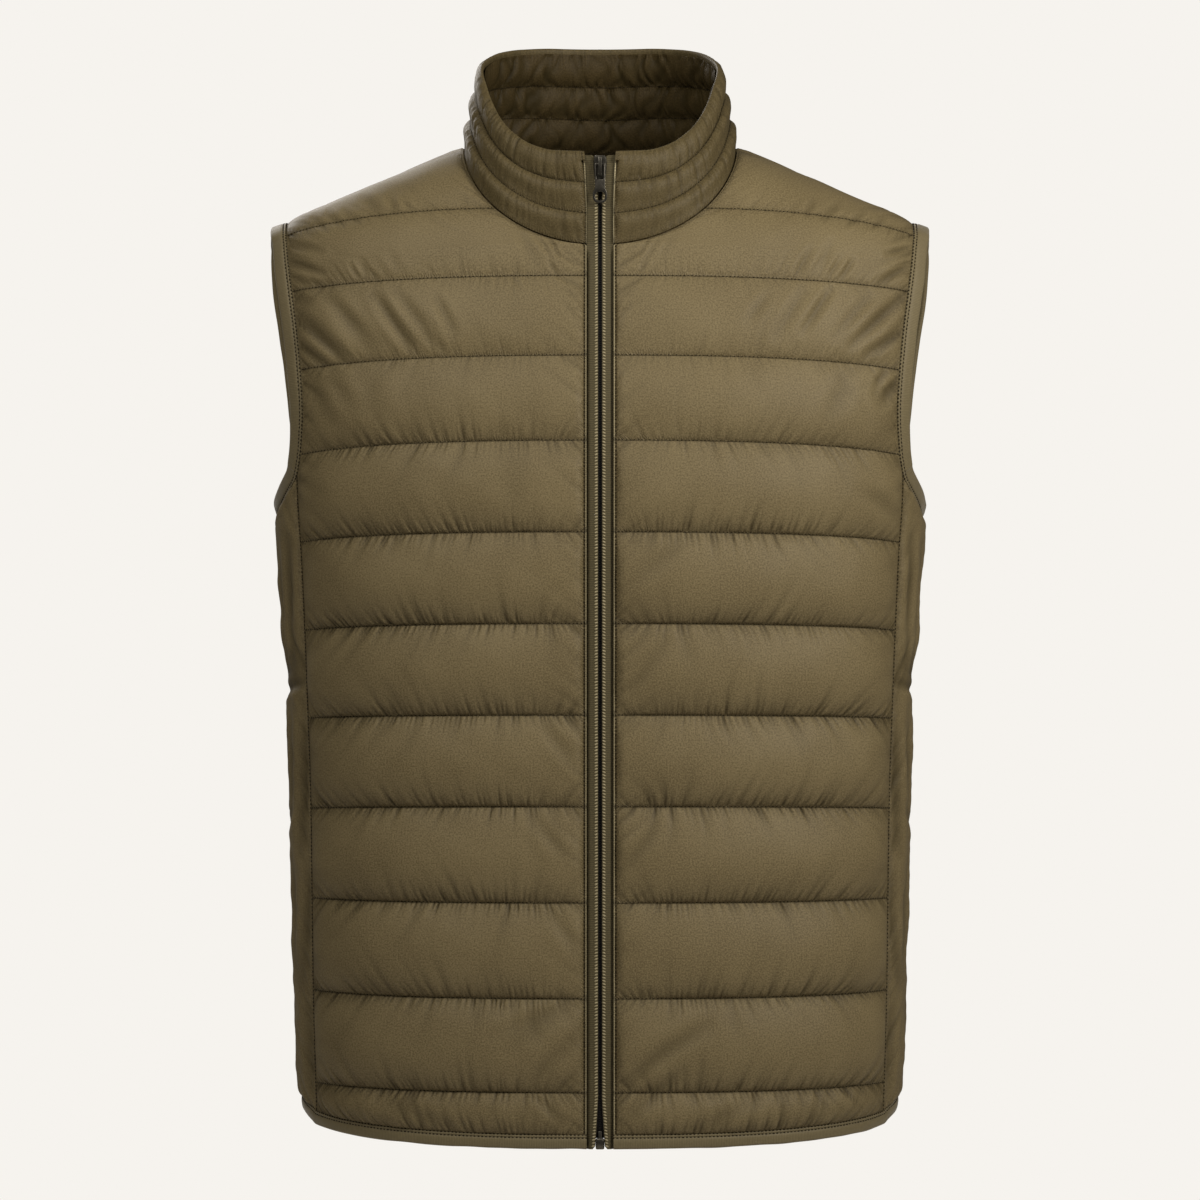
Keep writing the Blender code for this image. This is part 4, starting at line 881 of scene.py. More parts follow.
# %% A closed quilted wall
def quilted_piece(name, grid, normals, relief, attributes, material, allowance=0.0):
    """A closed wall: the grid raised by its relief outside, and a plain, coarser face inside.

    The seam allowance widens the inside, so that no light shows through the seams on either side.
    """
    rows, columns = relief.shape
    outer = grid + normals * relief[..., None]
    inner = grid - normals * WALL
    for edge, next_in in ((0, 1), (-1, -2)):
        outwards = grid[:, edge] - grid[:, next_in]
        inner[:, edge] += allowance * outwards / np.linalg.norm(outwards, axis=1, keepdims=True)
    outside = np.arange(rows * columns).reshape(rows, columns)
    kept_rows, kept_columns = every(rows, INNER_ROW_STEP), every(columns, INNER_COLUMN_STEP)
    points = [outer.reshape(-1, 3)]
    values = {key: [value.reshape(-1, 3)] for key, value in attributes.items()}
    plain = {"cloth": (0, 0, 0), "seam": (0, 1, 0), "edge": (0, 1, 0), "crease": (0, 0, 0)}
    inside = np.full((rows, columns), -1)
    border = np.ones((rows, columns), bool)
    border[1:-1, 1:-1] = False
    core = np.zeros((rows, columns), bool)
    core[np.ix_(kept_rows[1:-1], kept_columns[1:-1])] = True
    for chosen in (border, core):
        start = sum(map(len, points))
        inside[chosen] = start + np.arange(chosen.sum())
        points.append(inner[chosen])
        for key in values:
            values[key].append(np.tile(plain[key], (chosen.sum(), 1)))
    core_index = inside[np.ix_(kept_rows[1:-1], kept_columns[1:-1])]
    faces = grid_faces(outside) + grid_faces(core_index)
    sides = (
        (inside[0], outside[0], core_index[0], kept_columns),
        (inside[-1], outside[-1], core_index[-1], kept_columns),
        (inside[:, 0], outside[:, 0], core_index[:, 0], kept_rows),
        (inside[:, -1], outside[:, -1], core_index[:, -1], kept_rows),
    )
    for inner_edge, outer_edge, core_edge, indices in sides:
        faces += grid_faces(np.stack([inner_edge, outer_edge]))
        faces += fans(inner_edge.tolist(), [core_edge[0], *core_edge.tolist(), core_edge[-1]], indices)
    values = {key: np.concatenate(parts) for key, parts in values.items()}
    return solid_piece(name, np.concatenate(points), faces, material, values), outer


# %% [markdown]
# ### Fronts and back
# Each front ends in a folded edge beside the zip. It stands up as a narrow rounded bead, and the row of
# stitches that holds the zip's tape pulls a groove beside it. The two fronts have the same cut but not
# the same wrinkles, so each has its own seed and its own rows in the table of folds.

# %% Folds of the fronts and the back
FOLDS = {  # for each panel: x and height of one end, x and height of the other, half breadth, depth
    "front_right": (
        (201, -112, 165, -146, 3.6, 2.0), (199, -134, 180, -149, 2.6, 1.5),
        (202, -103, 189, -110, 3.5, 1.2), (181, -103, 143, -137, 4.0, 1.2),
        (170, -116, 147, -144, 4.5, 1.2), (145, -107, 121, -141, 3.6, 1.9),
        (131, -105, 110, -132, 3.8, 1.1), (106, -108, 93, -132, 3.2, 1.1),
        (112, -133, 99, -143, 3.0, 0.7), (202, -69, 182, -75, 2.6, 1.2), (202, -82, 182, -90, 2.6, 1.2),
        (200, -94, 174, -99, 2.4, 0.9), (162, -86, 155, -96, 1.7, 0.8), (155, -84, 148, -97, 2.2, 0.7),
        (148, -90, 142, -98, 1.6, 0.7), (136, -79, 129, -91, 3.0, 0.5), (113, -87, 108, -95, 1.8, 0.5),
        (188, -54, 179, -61, 1.9, 0.9), (178, -51, 168, -58, 2.0, 0.9), (167, -50, 159, -56, 1.9, 0.8),
        (154, -42, 141, -53, 3.0, 1.0), (137, -42, 133, -53, 2.5, 0.9), (128, -44, 122, -51, 1.9, 0.8),
        (190, -158, 172, -186, 5.0, 1.1), (178, -156, 158, -180, 5.0, 0.9),
        (150, -158, 142, -190, 7.0, 0.6), (34, -68, 26.5, -81, 1.55, 1.49),
        (28.5, -79, 10.5, -88.6, 1.45, 1.49), (26, -75.5, 12, -84.8, 1.35, 1.08),
        (23, -74, 11.5, -81.6, 1.25, 1.08), (20, -73, 11.5, -78.8, 1.25, 0.94),
        (41, -68, 29, -84.5, 2.15, 0.94), (33.5, -84, 27, -94, 1.55, 1.35), (52, -64, 41, -89, 3.5, 0.6),
        (26.5, -94.5, 11.5, -102.4, 1.45, 1.22), (25, -101.5, 13.5, -108.4, 1.35, 1.08),
        (21.5, -104.6, 14.5, -111, 1.25, 0.94), (23, -113, 13.5, -123, 1.85, 0.94),
        (57, -94, 51, -102, 1.5, 0.5), (60, -205, 52, -250, 8, 0.6), (20, -562, 58, -590, 6, 1.2),
        (14, -582, 44, -612, 4.5, 1.0), (30, -566, 70, -584, 4, 0.8), (96, -642, 140, -628, 5, 0.9),
        (24, -640, 40, -624, 2.5, 0.9), (44, -440, 22, -470, 4, 0.9), (40, -380, 16, -408, 4, 0.9),
        (30, -505, 14, -530, 4, 0.9),
    ),
    "front_left": (
        (201, -103, 162, -137, 3.8, 2.55), (199, -126, 173, -143, 3.0, 2.1),
        (175, -105, 152, -132, 4.0, 1.35), (150, -101, 131, -129, 3.0, 1.95),
        (131, -104, 114, -132, 3.6, 1.2), (108, -107, 95, -123, 3.0, 0.9), (202, -84, 181, -97, 2.8, 2.1),
        (202, -72, 187, -77, 2.0, 1.5), (164, -82, 156, -95, 1.8, 1.2), (155, -82, 147, -95, 1.8, 1.2),
        (150, -71, 142, -88, 3.0, 0.75), (136, -77, 127, -93, 2.6, 1.2), (186, -53, 177, -60, 1.9, 1.35),
        (172, -50, 162, -58, 2.2, 1.35), (156, -44, 146, -54, 2.6, 1.35), (140, -42, 134, -52, 2.4, 1.2),
        (199, -158, 181, -174, 4.0, 2.25), (186, -153, 176, -169, 2.5, 1.2),
        (160, -156, 146, -186, 6.0, 0.9), (33, -68, 25, -80, 1.55, 1.49),
        (27, -78, 10.5, -87.5, 1.45, 1.49), (24.5, -75, 12, -83.4, 1.35, 1.08),
        (21.5, -73.5, 11.5, -80.4, 1.25, 1.08), (39, -68, 27, -86, 2.15, 1.08),
        (47, -66, 38, -84, 3.0, 0.6), (30, -85, 24, -94, 1.55, 1.22), (28, -95, 12, -104, 1.45, 1.22),
        (23, -102, 13, -109.6, 1.35, 1.08), (20, -112, 12.5, -120, 1.65, 0.94),
        (170, -232, 193, -247, 5, 1.35), (66, -578, 24, -604, 5, 1.8), (52, -606, 14, -640, 4, 1.2),
        (36, -600, 12, -620, 3.5, 1.0), (60, -644, 100, -626, 4.5, 0.9), (42, -330, 18, -362, 4.5, 0.9),
        (36, -450, 14, -478, 4, 1.0), (58, -262, 20, -292, 5, 0.8),
    ),
    "back": (
        (-150, -162, -186, -196, 6, 1.4), (150, -160, 188, -192, 6, 1.4),
        (-120, -102, -150, -142, 5, 1.5), (-144, -104, -172, -144, 5, 1.3),
        (128, -102, 156, -146, 5, 1.5), (152, -104, 178, -142, 5, 1.2), (20, -66, 62, -88, 7, 0.9),
        (-60, -60, -22, -84, 7, 0.8), (-40, -332, 30, -358, 8, 0.9), (90, -450, 140, -476, 8, 0.8),
        (-150, -570, -110, -604, 7, 0.9),
    ),
}
FOLD_BEAD = 0.8  # width of the folded edge, out to the stitches beside the zip
FOLD_BEAD_RISE = 0.9
GROOVE_DEPTH, GROOVE_HALF_BREADTH = 0.8, 0.5  # of the row of stitches beside the folded edge
TOPSTITCH_FLAT = 1.2  # width of the strip that these stitches press down
SEAM_FLAT = 0.9  # the same beside the side seams and the armholes
SEAM_DEPTH = 0.9  # how far the cloth turns in at a seam
SEAM_BREADTH = 0.55  # over which it turns in
NECK_BLEND = 2.0  # width over which the folded edge turns into the neck seam
FOLD_SHADE = 0.45  # how much a wide fold counts as a crease beside a narrow one of its depth


# %% Edges of a panel
def bead_height(distance):
    """Height of the folded edge's round bead at a distance from the zip's edge."""
    return FOLD_BEAD_RISE * np.sqrt(np.clip(1 - (2 * distance / FOLD_BEAD - 1) ** 2, 0, 1))


def folded_edge(relief, distance):
    """Relief with a rounded bead at the zip's edge and a groove for its stitches."""
    from_stitches = (distance - FOLD_BEAD - TOPSTITCH_FLAT / 2) / GROOVE_HALF_BREADTH
    groove = GROOVE_DEPTH * np.exp(-(from_stitches**2))
    return np.where(distance < FOLD_BEAD, bead_height(distance), relief - groove)


def fold_crest_highlight(distance):
    """1 along the pressed crest of the folded edge, where a highlight is painted on the cloth."""
    return np.clip(1.8 - np.abs(distance - FOLD_BEAD / 2) / 0.25, 0, 1)


def turned_in(distance):
    """How far a seam pulls the cloth's edge in."""
    return SEAM_DEPTH * np.exp(-((distance / SEAM_BREADTH) ** 2))


# %% A panel's wrinkles
def wrinkled(quilt, name, seed, has_zip_edge):
    """A panel's relief with its puckers, folds and unevenness, and its attributes."""
    if has_zip_edge:
        flat_strip, ease, coarseness = FOLD_BEAD + TOPSTITCH_FLAT, ZIP_EDGE_EASE, 1.0
        reach, pull, extra = 25, 1.1, 0.0
    else:
        flat_strip, ease, coarseness = SEAM_FLAT, EDGE_EASE, 1.7
        reach, pull, extra = 110, 1.0, 0.3
    z = quilt.grid[..., 2]
    beyond = np.maximum(quilt.beyond - SEAM_FLAT, 0)
    along = np.maximum(quilt.along - flat_strip, 0)
    from_edge = np.minimum(along, beyond)
    relief = quilt.bulge() * settled(along) * seam_shape(beyond) * edge_shape(along, ease)
    body = np.clip(relief / 2.5, 0, 1)  # 1 where the wadding is thick enough to wrinkle freely
    near_outer, near_inner = np.exp(-beyond / 110), np.exp(-along / reach)
    lean = near_outer - pull * near_inner
    strength = 0.8 + 0.35 * near_outer + extra * near_inner
    strength = strength * np.interp(z, (-330, -230, -150, -60), (1.0, 0.85, 0.5, 0.4))
    lean = lean + 0.2 * ripple(quilt.grid, 70, (seed, 40))
    strength = strength * (1 + 0.3 * ripple(quilt.grid, 55, (seed, 41)))
    sunk = stitch_puckers(quilt, seed, lean, strength, coarseness)
    upward = np.interp(z, (-420, -180, -150, -100, -92, -50), (0.1, -0.3, -0.7, -0.7, -0.35, -0.3))
    pulled = np.interp(z, (-250, -215), (0.45, 1.0))
    for number, distance in enumerate([beyond] if has_zip_edge else [beyond, along]):
        rng = np.random.default_rng((seed, 50 + number))
        edge = troughs(rng, quilt.run, distance, 2.8, 0.6, 3.0, 0.5, 0.24, 0.4)
        edge += troughs(rng, quilt.run, distance, 5.6, 1.3, 8, upward, 0.24, 0.3)
        edge += troughs(rng, quilt.run, distance, 16, 1.3, 20, upward, 0.18)
        sunk += edge * pulled
    if has_zip_edge:
        rng = np.random.default_rng((seed, 60))
        sunk += troughs(rng, quilt.run, along, 3.4, 0.5, 4.5, 0.75, 0.24, 0.3)
        sunk += troughs(rng, quilt.run, along, 11, 0.9, 13, 0.75, 0.16)
    flat = np.stack([quilt.grid[..., 0], z], -1)
    gathers = sunk.copy()
    for x1, z1, x2, z2, half_breadth, depth in FOLDS[name]:
        sunk += fold(flat, (x1, z1), (x2, z2), half_breadth, depth)
    uneven = 0.4 * ripple(quilt.grid, 46, (seed, 70)) + 0.16 * ripple(quilt.grid, 17, (seed, 71))
    free = (0.3 + 0.7 * body) * np.clip(from_edge / 0.4, 0, 1)
    relief = relief + body * uneven - sunk * free
    relief -= turned_in(quilt.beyond)
    edge_lean = np.where(along < beyond, 0.75, upward) if has_zip_edge else upward
    at_zip = np.clip(1 - (quilt.grid[:, :1, 0] - ZIP_EDGE) / NECK_BLEND, 0, 1) if has_zip_edge else 0.0
    # where a highlight is painted on the crest of the folded edge beside the zip
    weight = fold_crest_highlight(quilt.along) * at_zip
    shaded = gathers + FOLD_SHADE * (sunk - gathers)
    attributes = quilt.attributes(lean, weight, from_edge, edge_lean, shaded)
    seam = relief - turned_in(quilt.along)
    return seam + at_zip * (folded_edge(relief, quilt.along) - seam), attributes


# %% Fronts and back
def register_padded(piece, node_name):
    """Hides the solid that a quilted or padded piece stands in for, and prints its number of faces."""
    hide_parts(node_name)
    print(piece.name, len(piece.data.polygons), "faces")


outer_points = {}
for name, quilt, turn, seed in (
    ("front_left", front, 1, 11),
    ("front_right", front, -1, 23),
    ("back", back, 1, 37),
):
    relief, attributes = wrinkled(quilt, name, seed, quilt is front)
    grid, normals = quilt.grid * (turn, 1, 1), quilt.normals * (turn, 1, 1)
    piece, outer_points[name] = quilted_piece(
        "quilted_" + name, grid, normals, relief, attributes, shell_cloth)
    register_padded(piece, name)

# %% [markdown]
# ### Side panels
# The strips under the arms aren't quilted. They bend round the body where it folds most, so they carry
# long upright creases and one deep dent at the waist, with puckers off both seams.

# %% Folds of the side panels
SIDE_FOLDS = (  # distance in front of the middle and height of each end, half breadth, depth
    (56, -356.5, -40, -372.5, 3.2, 0.9),
    (56, -348, -40, -364, 15, 1.6),
    (48, -262, 40, -340, 5, 1.5),
    (30, -268, 22, -348, 6, 1.2),
    (8, -280, 0, -350, 7, 1.0),
    (-24, -270, -32, -345, 6, 1.3),
    (50, -372, 44, -470, 5, 1.4),
    (34, -376, 22, -450, 6, 1.1),
    (4, -380, 10, -460, 7, 0.9),
    (-30, -372, -22, -450, 6, 1.3),
    (52, -480, 40, -560, 5, 1.2),
    (26, -470, 32, -556, 6, 1.0),
    (-8, -480, -18, -570, 7, 1.1),
    (-36, -470, -40, -560, 6, 1.0),
    (46, -566, 50, -630, 5, 1.0),
    (16, -570, 6, -632, 7, 0.9),
    (-26, -580, -30, -632, 6, 0.9),
    (40, -440, -10, -458, 5, 0.8),
)
SIDE_FOLD_DEPTH = 1.4  # times the depths in the table
SIDE_CREASE_SHADE = 0.6


# %% A side panel's wrinkles
def wrinkled_side(grid, seed):
    """A side panel's relief, and its attributes."""
    along, beyond = (np.maximum(d - SEAM_FLAT, 0) for d in distances(grid, 1))
    run, left = distances(grid, 0)
    relief = SIDE_PUFF * seam_shape(along, SIDE_SEAM_EASE) * seam_shape(beyond, SIDE_SEAM_EASE)
    relief = relief * edge_shape(run, 6) * edge_shape(left, 6)
    body = np.clip(relief / 2.0, 0, 1)
    sunk = np.zeros_like(relief)
    for number, distance in enumerate((along, beyond)):
        rng = np.random.default_rng((seed, number))
        sunk += troughs(rng, run, distance, 3.4, 0.6, 4, 0.6, 0.24, 0.4)
        sunk += troughs(rng, run, distance, 8, 1.2, 9, 0.8, 0.22)
        sunk += troughs(rng, run, distance, 19, 1.6, 22, 1.1, 0.18)
    flat = np.stack([-grid[..., 1], grid[..., 2]], -1)
    for y1, z1, y2, z2, half_breadth, depth in SIDE_FOLDS:
        sunk += fold(flat, (y1, z1), (y2, z2), half_breadth, depth * SIDE_FOLD_DEPTH)
    uneven = 0.6 * ripple(grid, 30, (seed, 7)) + 0.3 * ripple(grid, 12, (seed, 8))
    from_edge = np.minimum(along, beyond)
    relief = relief + body * (uneven - sunk)
    relief -= turned_in(from_edge)
    nothing = along * 0
    attributes = {
        "cloth": np.stack([along, run, nothing], -1) * METRES,
        "seam": np.stack([along, np.minimum(run, left), nothing], -1) * METRES,
        "edge": np.stack([run - 0.6 * from_edge, from_edge, nothing], -1) * METRES,
        "crease": crease_share(sunk * SIDE_CREASE_SHADE),
    }
    return relief, attributes


# %% Side panels
side_normals = torso_normal(side)
for side_name, turn, seed in (("left", 1, 61), ("right", -1, 67)):
    relief, attributes = wrinkled_side(side, seed)
    piece, outer_points["side_" + side_name] = quilted_piece(
        "padded_side_" + side_name, side * (turn, 1, 1), side_normals * (turn, 1, 1), relief, attributes,
        shell_cloth, SEAM_GAP)
    register_padded(piece, "side_" + side_name)

# %% [markdown]
# ## Binding
# The armholes and the hem are finished with a strip of woven tape. The maker folds it over the raw edge
# of the quilted layers and runs two rows of stitches through everything, close to the tape's inner edge.
# The strip is one thin band here too: its section is a line bent round a half circle and given the
# tape's own thickness. A slight waviness of the fold shows that it was eased round a curve.

# %% Sizes of the binding
ARMHOLE_BINDING_WIDTH, HEM_BINDING_WIDTH = 11.5, 9.3
ARMHOLE_FLARE = (  # height, degrees the tape stands out of the surface in front and behind
    (-250, 12, 12),
    (-239, 5, 5),
    (-228, 0, 0),
    (-180, 0, 0),
    (-125, 3, 4),
    (-98, 5, 12),
    (-80, 6, 20),
    (-63, 7, 26),
    (-50, 10, 10),
)
BINDING_PROUD = 0.9  # how far the tape stands off the wall on both sides
BINDING_CLOTH = 0.45  # thickness of the tape
BINDING_STEP = 1.4
BINDING_WAVE_OUT, BINDING_WAVE_UP = 0.35, 0.22  # how far the fold waves across and off the cloth
BINDING_GATHERS = 0.4  # depth of the small gathers at its stitches
STITCH_ROWS_ON_BINDING = (0.1, 2.0)  # distance of both rows from the seam
THREAD_LIFT = 0.3  # of a stitch's middle above the cloth


# %% The folded tape's section
def resampled(points, step, closed=False):
    """The same line with evenly spaced points."""
    if closed:
        points = np.concatenate([points, points[:1]])
    run = length_along(points)
    places = np.linspace(0, run[-1], round(run[-1] / step) + 1)
    places = places[:-1] if closed else places
    return np.column_stack([np.interp(places, run, points[:, k]) for k in range(3)])


def folded_section(width):
    """The folded tape's section, its outer line and then its inner line back to the start."""
    proud, radius = BINDING_PROUD, WALL / 2 + BINDING_PROUD
    first, second = STITCH_ROWS_ON_BINDING
    face = [(-0.3, -0.9), (first, -0.15), (0.7, 0.55), (1.3, 0.6), (second, 0.2), (2.7, 0.8)]
    face += [(3.8, proud + 0.15), (5.6, proud + 0.2), (width - 3.2, proud + 0.1)]
    turns = np.radians(np.linspace(90, -90, 9))
    fold_line = [(width - radius + radius * math.cos(t), -WALL / 2 + radius * math.sin(t)) for t in turns]
    back = [(width - 4.0, -WALL - proud), (2.0, -WALL - proud + 0.1)]
    back += [(0.3, -WALL - 0.6), (-0.9, -WALL - 0.5)]
    outer = np.array(face + fold_line + back)
    along = unit(np.gradient(outer, axis=0))
    inner = outer + np.column_stack([along[:, 1], -along[:, 0]]) * BINDING_CLOTH
    return np.concatenate([outer, inner[::-1]]), len(outer)


# %% Sweep a section along stations
def swept_piece(name, stations, material, attributes, closed=False, caps=None):
    """A closed solid through sections with the same number of points; caps give the end faces."""
    count, size = stations.shape[:2]
    index = np.arange(count * size).reshape(count, size)
    index = np.column_stack([index, index[:, :1]])
    if closed:
        index = np.concatenate([index, index[:1]])
    faces = grid_faces(index)
    if not closed:
        last = (count - 1) * size
        faces += [list(face) for face in caps] + [[k + last for k in face] for face in caps]
    values = {key: value.reshape(-1, 3) for key, value in attributes.items()}
    return solid_piece(name, stations.reshape(-1, 3), faces, material, values)


# %% Binding along an edge
def binding_frames(edge, away, closed, flare):
    """Points where the tape starts, and its directions across and out, along a panel's edge."""
    normals = torso_normal(edge)
    along = np.roll(edge, -1, 0) - np.roll(edge, 1, 0) if closed else np.gradient(edge, axis=0)
    beyond = unit(np.cross(along, normals))
    beyond *= np.sign(np.sum(beyond * away, axis=1, keepdims=True))
    turn = np.radians(np.broadcast_to(flare, len(edge)))[:, None]
    across = beyond * np.cos(turn) + normals * np.sin(turn)
    return edge, across, normals * np.cos(turn) - beyond * np.sin(turn)


def folded_binding(name, frames, width, closed, seed, turn=1):
    """The strip along its edge, slightly wavy, and the lines where its two rows of stitches lie."""
    base, across, face = frames
    section, half = folded_section(width)
    rng = np.random.default_rng(seed)
    run = np.arange(len(base)) * BINDING_STEP
    wave = sum(np.sin(run / rng.uniform(3, 9) + rng.uniform(0, 6)) for _ in range(5)) / 5
    pucker = sum(np.sin(run / rng.uniform(0.6, 1.0) + rng.uniform(0, 6)) for _ in range(4)) / 4
    a, b = section[:, 0], section[:, 1]
    outward = (a / width) ** 2
    on_face = np.where(b > -WALL / 2, 1.0, 0.4) * np.sin(np.pi * np.clip(a / width, 0, 1))
    far = a + wave[:, None] * BINDING_WAVE_OUT * outward
    gathers = pucker[:, None] * BINDING_GATHERS * np.exp(-(((a - 1.0) / 1.2) ** 2)) * (b > -0.5)
    high = b + wave[:, None] * BINDING_WAVE_UP * on_face + gathers
    points = base[:, None] + across[:, None] * far[..., None] + face[:, None] * high[..., None]
    points = points * (turn, 1, 1)
    cloth = np.stack(np.broadcast_arrays(run[:, None], np.arange(len(a)) * 0.7, 0.0), -1) * METRES
    caps = [(k, k + 1, len(a) - 2 - k, len(a) - 1 - k) for k in range(half - 1)]
    piece = swept_piece(name, points, binding_tape, {"cloth": cloth}, closed, caps)
    lift = face * (turn, 1, 1) * THREAD_LIFT
    on_back = b[:half] < -1
    rows = []
    for distance in STITCH_ROWS_ON_BINDING:
        line = points[:, int(np.argmin(np.abs(a[:half] - distance) + 9 * on_back))] + lift
        rows.append(np.concatenate([line, line[:1]]) if closed else line)
    return piece, rows


# %% Edges that are bound
def rows_below_armhole(grid):
    """How many rows of a panel end at the side seam."""
    return int(np.argmax(grid[:, -1, 2] > SIDE_SEAM_TOP + 0.5))


def armhole_frames():
    """The left armhole's closed edge: up the front, down the back and under the arm."""
    edges = [panel[rows_below_armhole(panel):, -1] for panel in (front.grid, back.grid)]
    tip = (edges[0][-1] + edges[1][-1]) / 2
    loop = np.concatenate([edges[0][:-1], [tip], edges[1][-2::-1], side[-1][::-1]])
    loop = resampled(loop, BINDING_STEP, closed=True)
    in_front, behind = curve(ARMHOLE_FLARE, 0, 1)(loop[:, 2]), curve(ARMHOLE_FLARE, 0, 2)(loop[:, 2])
    flare = np.where(loop[:, 1] < 0, in_front, behind)
    return binding_frames(loop, loop.mean(0) - loop, True, flare)


def hem_frames():
    """The hem's edge from the left zip edge round the back to the right one."""
    left = [front.grid[0, :-1], side[0, :-1]]
    right = [mirrored(side)[0, 1:], mirrored(front.grid)[0, 1:]]
    loop = resampled(np.concatenate([*left, back.grid[0, ::-1], *right]), BINDING_STEP)
    return binding_frames(loop, np.tile([0.0, 0.0, -1.0], (len(loop), 1)), False, 0.0)


# %% Armhole and hem bindings
binding_stitches = []
frames = armhole_frames()
for side_name, turn, seed in (("left", 1, 71), ("right", -1, 73)):
    piece, rows = folded_binding(
        "folded_armhole_" + side_name, frames, ARMHOLE_BINDING_WIDTH, True, seed, turn)
    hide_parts("armhole_binding_" + side_name)
    binding_stitches += rows

frames = hem_frames()
piece, rows = folded_binding("folded_hem", frames, HEM_BINDING_WIDTH, False, 79)
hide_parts("hem_binding")
binding_stitches += rows

# %% [markdown]
# ## Collar
# The stand collar is two quilted layers, sewn to the neck seam and to each other along the top, where the
# outer one rolls over the inner one. The neck seam is longer than the top, so the collar leans inwards.
# The inner layer has the same cut but less room, and its cloth stands in upright gathers.

# %% Sizes of the collar
COLLAR_HALF_WIDTH, COLLAR_DEPTH_CENTRE, COLLAR_HALF_DEPTH = 79.0, -26.0, 80.0  # of its upper edge
COLLAR_TOP = (  # angle from the centre front in degrees, height of the rolled edge
    (0, -13), (22, -11.5), (34, -7), (47, 3), (55, 11.5), (62, 20.5), (68, 29),
    (76, 39.5), (90, 50.5), (105, 58.4), (122, 65.9), (138, 70), (157, 72.3), (180, 72.6),
)
COLLAR_CHANNELS = 3
COLLAR_PUFF, COLLAR_INNER_PUFF = 3.3, 3.8
INNER_CLOTH = 0.9  # thickness of the inner collar between its stitched face and its plain one
COLLAR_INNER_TOP = 0.965  # share of the collar's height that its inner layer reaches
COLLAR_ROLL = (  # share of the height, distance out; the outer collar's top channel and its turned edge
    (0.6667, 0.0), (0.69, 0.8), (0.76, 2.1), (0.86, 3.1), (0.93, 2.9),
    (0.98, 1.4), (1.0, -0.6), (0.985, -1.7), (0.965, -2.0),
)
COLLAR_FLARE = 2.9  # how much further apart its zip edges are at the top
USUAL_HEIGHT = 70  # at which the roll's outline is made smooth
ROLL_START = 0.9  # share of the height above which the outer collar turns over
COLLAR_TUCK = 0.045  # share of its height that the inner collar reaches below the neck seam
COLLAR_LINE_LIFT = 0.08  # of a stitch's middle above the cloth
COLLAR_STATIONS = 440  # from the zip to the centre back
ROWS_IN_COLLAR_CHANNEL = 13

collar_top_height = curve(COLLAR_TOP)


# %% Lines of the collar
def collar_top_points(angles):
    """Points of the collar's upper edge on the wearer's left, at angles from the centre front."""
    turn = np.radians(np.asarray(angles, float))
    y = COLLAR_DEPTH_CENTRE - COLLAR_HALF_DEPTH * np.cos(turn)
    return np.stack([COLLAR_HALF_WIDTH * np.sin(turn), y, collar_top_height(np.degrees(turn))], -1)


def plan_share(points):
    """Share of a curve's plan length reached at each of its points."""
    run = length_along(points[:, :2])
    return run / run[-1]


def collar_frames():
    """At each station from the left zip edge round the back to the right one: base, rise, out, height."""
    even = np.linspace(0, 180, 181)
    first = NECK_BELOW_LINE_11[0]
    crowded, even_steps = np.arange(12) * 0.14, np.linspace(first + 1.9, 180, COLLAR_STATIONS - 12)
    angles = np.concatenate([first + crowded, even_steps])
    neck = neck_points(angles)
    neck_share = np.interp(angles, even, plan_share(neck_points(even)))
    top = collar_top_points(np.interp(neck_share, plan_share(collar_top_points(even)), even))
    top[0, 0] = neck[0, 0] = ZIP_EDGE
    neck = np.concatenate([neck, neck[-2::-1] * (-1, 1, 1)])
    top = np.concatenate([top, top[-2::-1] * (-1, 1, 1)])
    rise = top - neck
    height = np.linalg.norm(rise, axis=1, keepdims=True)
    rise /= height
    out = np.cross(np.gradient((neck + top) / 2, axis=0), rise)
    out *= np.sign(out[:, :1] * neck[:, :1] + out[:, 1:2] * (neck[:, 1:2] - COLLAR_DEPTH_CENTRE))
    out = unit(out)
    near_zip = np.clip(1 - (angles - angles[0]) / (NECK_BELOW_LINE_11[1] - angles[0]), 0, 1)
    return neck, rise, out, height[:, 0], np.concatenate([near_zip, -near_zip[-2::-1]])


def zip_side(share):
    """From the centre front to a front's or collar's edge, at a share of the collar's height."""
    return ZIP_EDGE + COLLAR_FLARE * np.clip(share, 0, None) ** 2


# %% Section of the collar
def smooth_line(points, count):
    """Points at even steps along a smooth line through the given ones."""
    points = np.array(points, float)
    run = length_along(points)
    table = np.column_stack([run, points])
    places = np.linspace(0, run[-1], count)
    return np.column_stack([curve(table, 0, 1)(places), curve(table, 0, 2)(places)])


def full_at_top(share):
    """The bulge of a channel that leans outwards, so its wadding stands fullest near its upper line."""
    return np.sin(np.pi * np.clip(share, 0, 1) ** 1.9) ** 0.8


